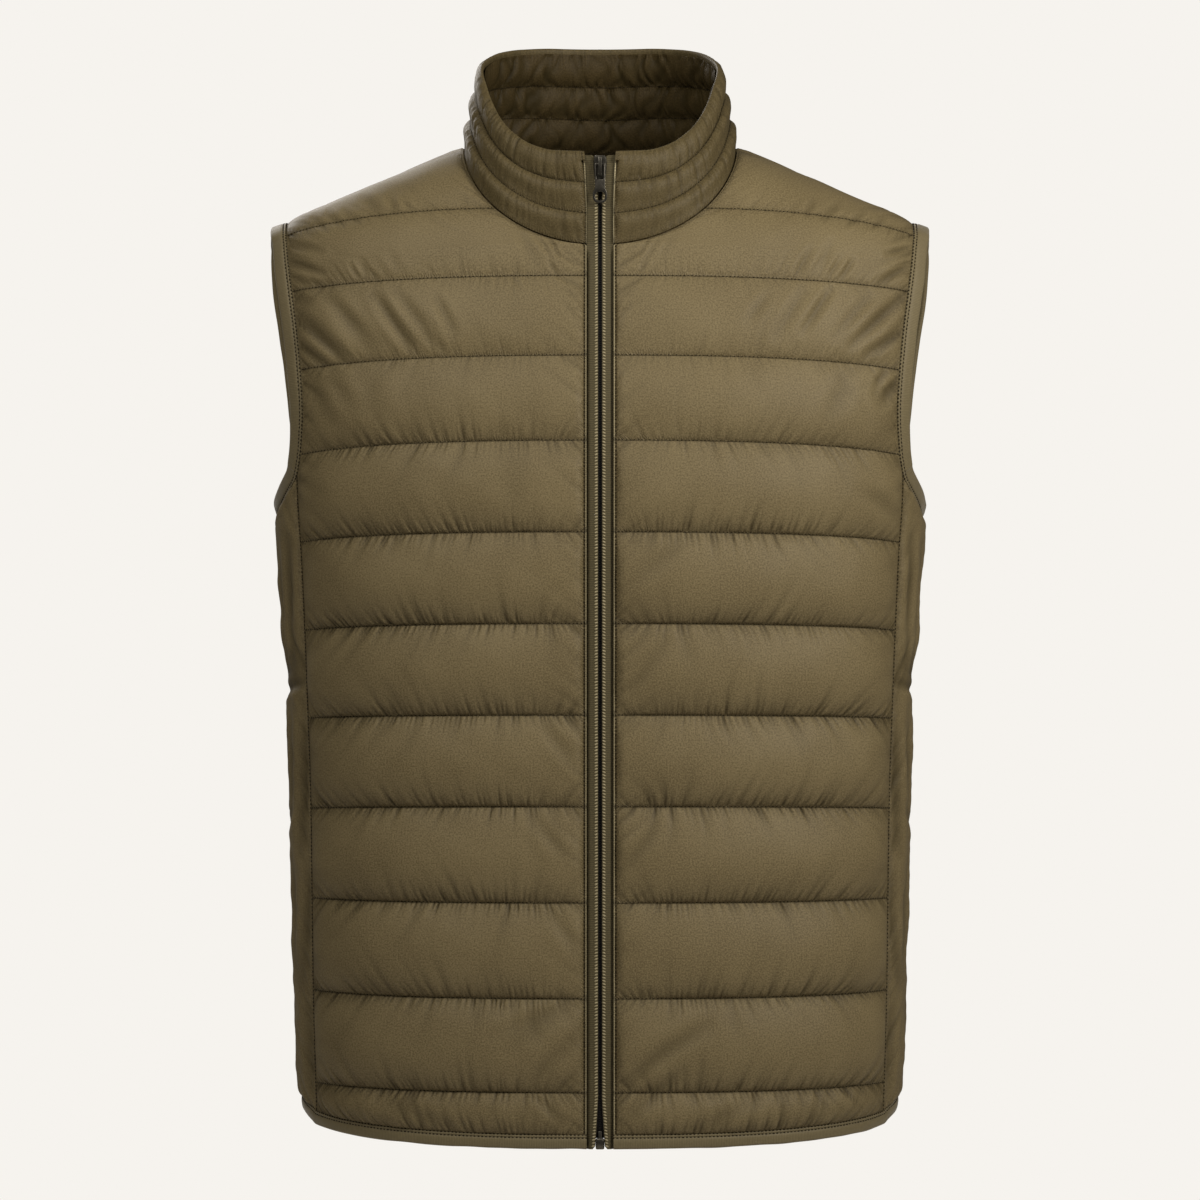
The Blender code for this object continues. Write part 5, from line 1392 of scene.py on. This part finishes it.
def collar_section(inner):
    """Shares of the height and distances out: the quilted face, then the plain one."""
    steps = closer_at_ends(ROWS_IN_COLLAR_CHANNEL)
    if inner:
        plain, top, channels = -WALL - SEAM_GAP, COLLAR_INNER_TOP, COLLAR_CHANNELS
        stitched, puff = plain - INNER_CLOTH, -COLLAR_INNER_PUFF
    else:
        plain, top, channels = -WALL, 1.0, COLLAR_CHANNELS - 1
        stitched, puff = 0.0, COLLAR_PUFF
    line = top / COLLAR_CHANNELS
    swell = channel_shape(steps) if inner else full_at_top(steps)
    points = [(line * (c + s), stitched + puff * b) for c in range(channels) for s, b in zip(steps, swell)]
    if inner:
        points.append((top, stitched))
    else:
        roll = smooth_line([(share * USUAL_HEIGHT, out) for share, out in COLLAR_ROLL], 26)
        points += [(rise / USUAL_HEIGHT, out) for rise, out in roll]
    face = len(points)
    points += [(0.75, plain), (0.5, plain), (0.25, plain)]
    points += [(-COLLAR_TUCK, plain), (-COLLAR_TUCK, stitched)] if inner else [(0.0, plain)]
    return np.array(points), face, line, stitched


# %% One layer of the collar
def collar_creases(inner, seed, along, share, line, height, lean):
    """How deep the creases off the stitch lines sink in, at each station and point of the section."""
    sunk = np.zeros_like(along)
    for number in range(COLLAR_CHANNELS + 1):
        rng = np.random.default_rng((seed, number))
        away = (share - line * number)[None, :] * height[:, None]
        for way in (1, -1):
            here = (away * way > -1e-6) & (np.abs(away) < line * height[:, None] * 1.02)
            force = troughs(rng, along, away * way, 3.2, 1.6, 3.6, lean * way, 0.27, 0.3)
            if inner:
                force += troughs(rng, along, away * way, 10.0, 1.9, 14, 0.3 * way, 0.24)
                force += troughs(rng, along, away * way, 15, 2.3, 20, -0.55 * way, 0.15)
            else:
                force += troughs(rng, along, away * way, 9, 1.3, 8, lean * way, 0.18)
            sunk += np.where(here, force, 0.0)
    return sunk


def collar_piece(name, inner, seed):
    """One layer of the collar, and its stitch lines as paths."""
    neck, rise, out, height, near_zip = collar_frames()
    section, face, line, stitched = collar_section(inner)
    share = section[:, 0]
    base = neck + rise * 2 * SEAM_GAP
    tall = (height - 2 * SEAM_GAP - (2 * SEAM_GAP if inner else 0))[:, None] * share
    deep = np.repeat(section[None, :, 1], len(neck), 0)
    run = length_along(base + rise * height[:, None] / 2)
    to_zip = np.minimum(run, run[-1] - run)[:, None]
    sign = -1.0 if inner else 1.0
    lip = np.where(np.arange(len(share)) < face, 1.0, 0.0)
    rise_here = (deep - stitched) * sign
    swell = np.clip(rise_here, 0, None) * lip
    place = np.stack(np.broadcast_arrays(run[:, None], tall), -1)
    along = run[:, None] + (3.5 if inner else 0.6) * ripple(place, 26, (seed, 8))
    lean = 0.35 * np.exp(-to_zip / 25) * np.sign(run[-1] / 2 - run[:, None])
    sunk = collar_creases(inner, seed, along, share, line, height, lean)
    uneven = 0.35 * ripple(place, 30, (seed, 9))
    from_zip = np.maximum(to_zip - FOLD_BEAD - TOPSTITCH_FLAT, 0)
    near_end = edge_shape(from_zip, ZIP_EDGE_EASE)
    held = (1 - near_end) * (inner | (share < ROLL_START))
    change = np.clip(swell / 1.5, 0, 1) * (uneven - sunk) - swell * held
    if not inner:
        lines = np.abs(share[None, :] / line - np.round(share / line)) * line * height[:, None]
        change = change - 0.35 * np.exp(-((lines / VALLEY_HALF_BREADTH) ** 2)) * (share < 0.7)
        folded = (to_zip < FOLD_BEAD) & (lip > 0) & (share < ROLL_START)
        change = np.where(folded, bead_height(to_zip) - rise_here, change)
    deep = deep + sign * change * lip
    points = base[:, None] + rise[:, None] * tall[..., None] + out[:, None] * deep[..., None]
    points[..., 0] += near_zip[:, None] * (zip_side(tall / height[:, None]) - ZIP_EDGE)
    for k, way in ((0, 1), (-1, -1)):
        points[k, :, 0] = way * zip_side(tall[k] / height[k])
    flat_section = np.column_stack([share * height[0], section[:, 1], share * 0])
    caps = tessellate_polygon([[tuple(p) for p in flat_section]])
    nearest = np.abs((share / line + 0.5) % 1.0 - 0.5) * line * height[:, None]
    nearest = np.where(share > 0.85, 9.0, nearest)
    across = run[:, None] - lean * nearest + LINE_SHIFT * np.floor(share * 2 / line)
    below_roll = (share < ROLL_START) & (lip > 0) & (not inner)
    # where a highlight is painted on the crest of the collar's folded edge
    weight = np.where(below_roll, fold_crest_highlight(to_zip), 0.0)
    triples = {
        "cloth": (run[:, None] * METRES, tall * METRES, 0.0),
        "seam": (across * METRES, nearest * METRES, weight),
        "edge": ((tall - 0.5 * from_zip) * METRES, from_zip * METRES, 0.0),
    }
    shape = tall.shape
    attributes = {
        key: np.stack([np.broadcast_to(part, shape) for part in triple], -1)
        for key, triple in triples.items()}
    attributes["crease"] = crease_share(sunk * lip)
    # both layers take cloths darkened as painted shade
    material = shaded_collar_lining if inner else shaded_collar_cloth
    piece = swept_piece(name, points, material, attributes, caps=caps)
    columns = [int(np.argmin(np.abs(share[:face] - line * k))) for k in range(1, COLLAR_CHANNELS)]
    return piece, [points[:, k] + out * sign * COLLAR_LINE_LIFT for k in columns]


# %% Outer and inner collar
collar_lines = []
for name, inner, seed in (("collar_outer", False, 83), ("collar_inner", True, 89)):
    piece, stitch_lines = collar_piece("quilted_" + name, inner, seed)
    register_padded(piece, name)
    collar_lines += stitch_lines

# %% [markdown]
# ## Zip
# The zip is a nylon coil on two woven tapes. The tapes are sewn behind the folded edges of the fronts, so
# each one dips under its front and only its inner part shows. Beside the teeth runs a bead of light
# thread that binds the coil to the tape, in loops 2 mm apart. The teeth themselves are a dark line
# between the two beads, drawn near black: partly their own colour, partly painted shade.

# %% Sizes of the zip
TAPE_FACE, TAPE_CLOTH = -0.5, 0.6  # place of the tape's face on the worn form, and its thickness
CHAIN_HALF_WIDTH = 1.7
ZIP_TOP_DROP, ZIP_BOTTOM = 2.5, -656.5  # distance from the collar's top, and height
BOX_HEIGHT, BOX_PIN_HEIGHT, BOX_SPREAD = 7.0, 4.5, 32.0  # the tapes part within the spread
BOX_HALF_WIDTH = 3.1
SLIDER_TOP, SLIDER_LENGTH = -15.6, 17.6
BEAD_START, BEAD_END, BEAD_RISE = 1.2, 3.9, 0.28  # of the swelling under the thread loops
TAPE_UNDER_FRONT, UNDER_DEPTH = 12.0, 2.5  # place of the tape's hidden edge
TAPE_SLOPE = 0.5  # how much deeper the tape lies beside the fold than beside the bead
TAPE_COLUMNS = (  # shares of the way from the teeth to the tape's outer edge
    0, 0.015, 0.05, 0.1, 0.15, 0.2, 0.25, 0.3, 0.42, 0.52, 0.58, 0.64, 0.7, 0.78, 0.9, 1.0)
MOUTH_LENGTH, MOUTH_SPREAD = 8.0, 2.0  # of the tapes in the slider's mouth
TAPE_TOP_CORNER, TAPE_BOTTOM_CORNER = 2.6, 1.6
HIDDEN_BELOW, HIDDEN_OVER = -76.0, 6.0  # height at which the tape goes under the front, and over how much
SLOPE_WIDTH, DIP_START, DIP_WIDTH = 3.0, 6.8, 1.5


# %% Path and tapes of the zip
def zip_path(step):
    """Down the centre front from the collar's top to the hem: points, outward normals, collar share."""
    neck, top = neck_points(0.0), collar_top_points(0.0)
    top = top + (neck - top) / np.linalg.norm(neck - top) * ZIP_TOP_DROP
    heights = np.linspace(neck[2], ZIP_BOTTOM, round((neck[2] - ZIP_BOTTOM) / step) + 1)
    body = np.column_stack([heights * 0, torso_y(heights * 0, heights, -1), heights])
    shares = np.linspace(0, 1, round(np.linalg.norm(neck - top) / step) + 1)[:-1, None]
    path = np.concatenate([top + (neck - top) * shares, body])
    normal = unit(np.cross(np.gradient(path, axis=0), (1.0, 0.0, 0.0)))
    normal *= -np.sign(normal[:, 1:2])
    return path, normal, np.concatenate([1 - shares[:, 0], heights * 0])


def parting(heights):
    """How far each tape gives way, to the box below and to the slider's mouth above."""
    below = np.clip(1 - (heights - ZIP_BOTTOM) / BOX_SPREAD, 0, 1)
    above = np.clip((heights - SLIDER_TOP + 6) / MOUTH_LENGTH, 0, 1)
    return (BOX_HALF_WIDTH - CHAIN_HALF_WIDTH + 0.5) * below + MOUTH_SPREAD * above


def corner_round(run, radius):
    """How far a tape's end is cut back at a distance from its end."""
    return radius - np.sqrt(np.clip(radius**2 - np.clip(radius - run, 0, None) ** 2, 0, None))


def zip_tape_stations(path, normal, shares):
    """The left tape's sections: bead beside the teeth, plain tape, and the part under the front."""
    heights, run = path[:, 2], length_along(path)
    inner = BEAD_START + parting(heights) + corner_round(run, TAPE_TOP_CORNER)
    inner += corner_round(run[-1] - run, TAPE_BOTTOM_CORNER)
    hidden = np.clip((HIDDEN_BELOW - heights) / HIDDEN_OVER, 0, 1)
    visible = zip_side(shares) - 0.06
    outer = visible + (TAPE_UNDER_FRONT - visible) * np.clip(hidden * 2 - 1, 0, 1)
    x = inner[:, None] + (outer - inner)[:, None] * np.array(TAPE_COLUMNS)
    from_inner = x - inner[:, None]
    bead = np.sin(np.pi * np.clip(from_inner / (BEAD_END - BEAD_START), 0, 1)) ** 0.6 * BEAD_RISE
    slope = np.clip((x - BEAD_END) / SLOPE_WIDTH, 0, 1) * TAPE_SLOPE
    dip = np.clip((x - DIP_START) / DIP_WIDTH, 0, 1)
    dip = (3 - 2 * dip) * dip * dip * (UNDER_DEPTH - TAPE_SLOPE) * np.clip(hidden * 2, 0, 1)[:, None]
    face = TAPE_FACE + bead - slope - dip
    face[:, 0] -= 0.25
    depth = np.concatenate([face, (face - TAPE_CLOTH)[:, ::-1]], 1)
    x = np.concatenate([x, x[:, ::-1]], 1)
    points = path[:, None] + normal[:, None] * depth[..., None]
    points[..., 0] += x
    cloth = np.stack(np.broadcast_arrays(run[:, None], x, 0.0), -1) * METRES
    return points, cloth, run


# %% Zip tapes
path, normal, collar_share = zip_path(2.0)
tape_points, cloth, tape_run = zip_tape_stations(path, normal, collar_share)
half = tape_points.shape[1] // 2
caps = [(k, k + 1, 2 * half - 2 - k, 2 * half - 1 - k) for k in range(half - 1)]
for side_name, turn in (("left", 1), ("right", -1)):
    piece = swept_piece(
        "woven_zip_tape_" + side_name, tape_points * (turn, 1, 1), zip_tape, {"cloth": cloth}, caps=caps)
    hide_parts("zip_tape_" + side_name)

# %% [markdown]
# ### Rows of small things
# Stitches, teeth and thread loops repeat thousands of times at an even pitch. Geometry Nodes place them:
# a mesh of lines becomes curves, each curve is cut to the pitch, and a small rounded shape is set on
# every point and turned along the line. The result is made into a plain mesh, one for each kind.


# %% Geometry Nodes for a row
def new_row_tree():
    """A node tree that sets rounded shapes along lines; its inputs are named and given in metres."""
    tree = bpy.data.node_groups.new("row along lines", "GeometryNodeTree")
    for name, kind in (
        ("Geometry", "Geometry"), ("Pitch", "Float"), ("Size", "Vector"), ("Unevenness", "Float"),
        ("Slant", "Rotation"), ("Seed", "Int"), ("Material", "Material"),
    ):
        tree.interface.new_socket(name, in_out="INPUT", socket_type="NodeSocket" + kind)
    tree.interface.new_socket("Geometry", in_out="OUTPUT", socket_type="NodeSocketGeometry")
    given = tree.nodes.new("NodeGroupInput")
    lines = add_node(tree, "GeometryNodeMeshToCurve", {"Mesh": (given, "Geometry")})
    cut = add_node(tree, "GeometryNodeResampleCurve", {
        "Curve": (lines, "Curve"), "Length": (given, "Pitch")}, mode="LENGTH")
    ball = add_node(tree, "GeometryNodeMeshIcoSphere", {"Radius": 0.5, "Subdivisions": 1})
    tangent = tree.nodes.new("GeometryNodeInputTangent")
    turn = add_node(tree, "FunctionNodeAlignRotationToVector", {"Vector": (tangent, "Tangent")}, axis="X")
    slanted = add_node(tree, "FunctionNodeRotateRotation", {
        "Rotation": (turn, "Rotation"), "Rotate By": (given, "Slant")}, rotation_space="LOCAL")
    low = add_node(tree, "ShaderNodeMath", {0: 1.0, 1: (given, "Unevenness")}, operation="SUBTRACT")
    chance = add_node(tree, "FunctionNodeRandomValue", {
        "Min": (low, "Value"), "Max": 1.0, "Seed": (given, "Seed")})
    size = add_node(tree, "ShaderNodeVectorMath", {
        "Vector": (given, "Size"), "Scale": (chance, "Value")}, operation="SCALE")
    placed = add_node(tree, "GeometryNodeInstanceOnPoints", {
        "Points": (cut, "Curve"), "Instance": (ball, "Mesh"), "Rotation": (slanted, "Rotation"),
        "Scale": (size, "Vector")})
    real = add_node(tree, "GeometryNodeRealizeInstances", {"Geometry": (placed, "Instances")})
    smooth = add_node(tree, "GeometryNodeSetShadeSmooth", {"Geometry": (real, "Geometry")})
    made = add_node(tree, "GeometryNodeSetMaterial", {
        "Geometry": (smooth, "Geometry"), "Material": (given, "Material")})
    add_node(tree, "NodeGroupOutput", {"Geometry": (made, "Geometry")})
    return tree


# %% Row of shapes along lines
row_tree = new_row_tree()


def row_piece(name, lines, pitch, size, material, seed, unevenness=0.0, slant=0.0):
    """One mesh of shapes along all the lines, whose points are in millimetres."""
    points = np.concatenate(lines)
    ends = np.cumsum([len(line) for line in lines])
    edges = [(k, k + 1) for k in range(len(points) - 1) if k + 1 not in ends]
    mesh = bpy.data.meshes.new(name + "_lines")
    mesh.from_pydata(points * METRES, edges, [])
    carrier = add_object(name, mesh)
    modifier = carrier.modifiers.new("row", "NODES")
    modifier.node_group = row_tree
    values = {
        "Pitch": pitch * METRES, "Size": [s * METRES for s in size], "Unevenness": unevenness,
        "Slant": (0.0, math.radians(slant), 0.0), "Seed": seed, "Material": material}
    for socket in row_tree.interface.items_tree:
        if socket.name in values:
            modifier[socket.identifier] = values[socket.name]
    seen = carrier.evaluated_get(bpy.context.evaluated_depsgraph_get())
    made = bpy.data.meshes.new_from_object(seen)
    carrier.modifiers.clear()
    carrier.data = made
    made.name = name
    bpy.data.meshes.remove(mesh)
    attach(carrier, "vest")
    print(name, len(made.polygons), "triangles")
    return carrier


# %% [markdown]
# ### Teeth and thread loops
# A coil's teeth are loops of one nylon filament, 1.5 mm apart, laid across the chain. What shows between
# the two beads is a dark row of their rounded backs, drawn near black: partly their own colour, partly
# painted shade of the gap.

# %% Sizes of the teeth and thread loops
TOOTH_PITCH = 1.5
TOOTH_SIZE = (1.1, 0.7, 2.3)  # along the chain, out of the cloth, across
LOOP_PITCH = 2.0
LOOP_SIZE = (1.35, 0.8, 2.9)
LOOP_SLANT = 22.0
TOOTH_DEPTH, LOOP_LIFT = -1.9, 0.15
CORE_FACE, CORE_FACE_BY_BOX, CORE_THICKNESS = -1.95, -2.5, 0.8


def zip_line(x, depth, top, bottom):
    """A line along the zip between two heights, at a distance or distances from its middle."""
    kept = (path[:, 2] < top) & (path[:, 2] > bottom)
    line = path + normal * depth
    line[:, 0] = x
    return line[kept]


# %% Core, teeth and thread loops
chain_top = SLIDER_TOP - SLIDER_LENGTH * 0.55
chain_bottom = ZIP_BOTTOM + BOX_HEIGHT + BOX_PIN_HEIGHT + SEAM_GAP
core_heights = np.linspace(chain_top, ZIP_BOTTOM + BOX_HEIGHT, 320)
order = np.argsort(path[:, 2])
core_path, core_out = (
    np.column_stack([np.interp(core_heights, path[order, 2], line[order, k]) for k in range(3)])
    for line in (path, normal))
half_core = BEAD_START + 0.35 + parting(core_heights)
core_face = np.where(core_heights < chain_bottom + 1, CORE_FACE_BY_BOX, CORE_FACE)
across = half_core[:, None] * (1, -1, -1, 1)
depth = core_face[:, None] + np.array([0.0, 0.0, -CORE_THICKNESS, -CORE_THICKNESS])
core = core_path[:, None] + core_out[:, None] * depth[..., None]
core[..., 0] += across
core_piece = swept_piece("zip_core", core, coil_nylon, {}, caps=[(0, 1, 2, 3)])
teeth = [zip_line(0.0, TOOTH_DEPTH, chain_top, chain_bottom)]
teeth_piece = row_piece("coil_teeth", teeth, TOOTH_PITCH, TOOTH_SIZE, coil_nylon, 3)
for piece in (core_piece, teeth_piece):
    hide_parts("zip_chain")

loop_x = (BEAD_START + BEAD_END) / 2 + 0.02 + parting(path[:, 2])
loops = zip_line(loop_x, TAPE_FACE + LOOP_LIFT, SLIDER_TOP - MOUTH_LENGTH, ZIP_BOTTOM + 1)
for name, turn in (("left", 1), ("right", -1)):
    row_piece(
        "coil_thread_loops_" + name, [loops * (turn, 1, 1)], LOOP_PITCH, LOOP_SIZE, coil_thread, 5, 0.12,
        LOOP_SLANT * turn)

# %% [markdown]
# ### Slider, pull and box
# These three are small castings. Their forms come straight from the solids. Each copy is merged, its flat
# faces are joined, and every hard edge gets a narrow bevel, because a plated casting has no sharp edges
# and a bevel is what catches the light.

# %% Slider, pull and box
EDGE_ROUND = 0.22
MERGE_DISTANCE = 0.00001  # metres
FLAT_ANGLE, HARD_ANGLE, CAST_SHARP_ANGLE = 4, 35, 40  # degrees


def add_casting(name, node_name, body):
    """A bevelled copy of a node's solid, at rest, that rides its body."""
    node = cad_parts[node_name]
    builder = bmesh.new()
    builder.from_mesh(node.data)
    builder.transform(node.matrix_world)
    bmesh.ops.remove_doubles(builder, verts=builder.verts, dist=MERGE_DISTANCE)
    bmesh.ops.dissolve_limit(
        builder, angle_limit=math.radians(FLAT_ANGLE), verts=builder.verts, edges=builder.edges)
    hard = [
        edge for edge in builder.edges
        if edge.is_manifold and edge.calc_face_angle(0) > math.radians(HARD_ANGLE)]
    bmesh.ops.bevel(
        builder, geom=hard, offset=EDGE_ROUND * METRES, segments=2, profile=0.5, affect="EDGES",
        clamp_overlap=True)
    bmesh.ops.triangulate(builder, faces=[f for f in builder.faces if len(f.verts) > 4])
    bmesh.ops.recalc_face_normals(builder, faces=builder.faces)
    mesh = bpy.data.meshes.new(name)
    builder.to_mesh(mesh)
    builder.free()
    mesh.shade_smooth()
    mesh.set_sharp_from_angle(angle=math.radians(CAST_SHARP_ANGLE))
    mesh.materials.clear()
    mesh.materials.append(plated_zinc)
    shape = add_object(name, mesh)
    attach(shape, body)
    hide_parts(node_name)
    print(name, len(mesh.polygons), "faces")


for name, node_name, body in (
    ("cast_slider", "zip_slider", "vest"),
    ("cast_pull", "zip_pull", "pull"),
    ("cast_box", "zip_box", "vest"),
):
    add_casting(name, node_name, body)

# %% [markdown]
# ## Thread
# Each stitch is about 2 mm of thread lying on the cloth between two needle holes. The rows lie exactly on
# the seams and quilting lines, pressed into the cloth. On the fronts, a row runs down beside the zip and
# holds the tape behind. Each armhole and the hem carry two rows on the tape.

# %% Thread
STITCH_PITCH = 2.5
STITCH_SIZE, EDGE_STITCH_SIZE = (1.4, 0.7, 0.8), (1.8, 1.05, 1.05)  # along, out of the cloth, across
LINE_LIFT = 0.1  # of a quilting stitch's middle above the cloth

quilt_lines = []
for name, quilt, turn in (("back", back, 1), ("front_left", front, 1), ("front_right", front, -1)):
    raised = outer_points[name] + quilt.normals * (turn, 1, 1) * LINE_LIFT
    quilt_lines += [raised[row] for row in quilt.starts[1:]]
row_piece("quilting_stitches", quilt_lines, STITCH_PITCH, STITCH_SIZE, thread, 7, 0.2)

edge_lines = list(binding_stitches)
beside_zip = int(np.argmin(np.abs(front.along[100] - (FOLD_BEAD + TOPSTITCH_FLAT / 2))))
zip_end = int(np.argmax(front.grid[:, 0, 0] > ZIP_EDGE + 0.5))
for name, turn in (("front_left", 1), ("front_right", -1)):
    raised = outer_points[name] + front.normals * (turn, 1, 1) * THREAD_LIFT
    at_seam = outer_points[name] + front.normals * (turn, 1, 1) * SEAM_DEPTH
    edge_lines += [raised[2:zip_end, beside_zip], at_seam[2:rows_below_armhole(front.grid), -1]]
at_seam = outer_points["back"] + back.normals * SEAM_DEPTH
for column in (0, -1):
    edge_lines.append(at_seam[2:rows_below_armhole(back.grid), column])
row_piece("seam_stitches", edge_lines, STITCH_PITCH, EDGE_STITCH_SIZE, thread, 9, 0.2)
row_piece("collar_stitches", collar_lines, STITCH_PITCH, STITCH_SIZE, thread, 13, 0.2)

# %% [markdown]
# ## Light
# A pale studio. The key stands in front of the vest, on the wearer's left and a little above its
# collar, and makes the puckers read. A weaker fill stands higher on the other side. It lights the upper
# slopes of the channels, and their lower slopes fall into shade. A light behind does the same for the
# back, and a faint, even surround fills what is left. The camera sees a pale backdrop instead of it.

# %% Light
BACKDROP, SURROUND_COLOUR, LAMP_COLOUR = "f6f3ee", "fbf8f4", "fffaf4"
SURROUND = 0.11
AIM = (0.0, 0.0, -0.3)
LAMPS = (  # name, place, size in metres, watts
    ("key", (0.8, -0.85, 0.25), 0.5, 12.0),
    ("fill", (-0.4, -0.9, 0.55), 0.6, 7.6),
    ("back light", (-0.7, 1.2, 0.6), 0.9, 13.0),
)

for name, place, size, watts in LAMPS:
    light = bpy.data.lights.new(name, "AREA")
    light.shape = "DISK"
    light.size = size
    light.energy = watts
    light.color = linear(LAMP_COLOUR)[:3]
    lamp = add_object(name, light)
    lamp.location = place
    x, y, z = np.array(AIM) - np.array(place)
    lamp.rotation_euler = (math.atan2(math.hypot(x, y), -z), 0, math.atan2(-x, y))
    lamp.visible_camera = False

world = bpy.data.worlds.new("pale studio")
world.use_nodes = True
bpy.context.scene.world = world
tree = world.node_tree
tree.nodes.clear()
rays = tree.nodes.new("ShaderNodeLightPath")
surround = add_node(tree, "ShaderNodeBackground", {
    "Color": linear(SURROUND_COLOUR), "Strength": SURROUND})
shown = add_node(tree, "ShaderNodeBackground", {"Color": linear(BACKDROP), "Strength": 1.0})
mixed = add_node(tree, "ShaderNodeMixShader", {
    "Fac": (rays, "Is Camera Ray"), 1: (surround, "Background"), 2: (shown, "Background")})
add_node(tree, "ShaderNodeOutputWorld", {"Surface": (mixed, "Shader")})
bpy.context.scene.view_settings.view_transform = "Standard"
print("lamps:", len(LAMPS))

# %% [markdown]
# ## Floor
# A round pale floor far below the hem keeps a low view from looking into nothing.

# %% Floor
FLOOR_HEIGHT, FLOOR_RADIUS, FLOOR_SIDES = -0.95, 1.5, 96
floor_paper = make_plain("matt studio floor", "e9e6e0", "eeebe6", 0.9, patch=0.5)
builder = bmesh.new()
bmesh.ops.create_circle(builder, cap_ends=True, radius=FLOOR_RADIUS, segments=FLOOR_SIDES)
bmesh.ops.translate(builder, vec=(0, 0, FLOOR_HEIGHT), verts=builder.verts)
mesh = bpy.data.meshes.new("studio_floor")
builder.to_mesh(mesh)
builder.free()
mesh.materials.append(floor_paper)
floor = add_object("studio_floor", mesh)
print("floor", FLOOR_RADIUS, "m in radius")
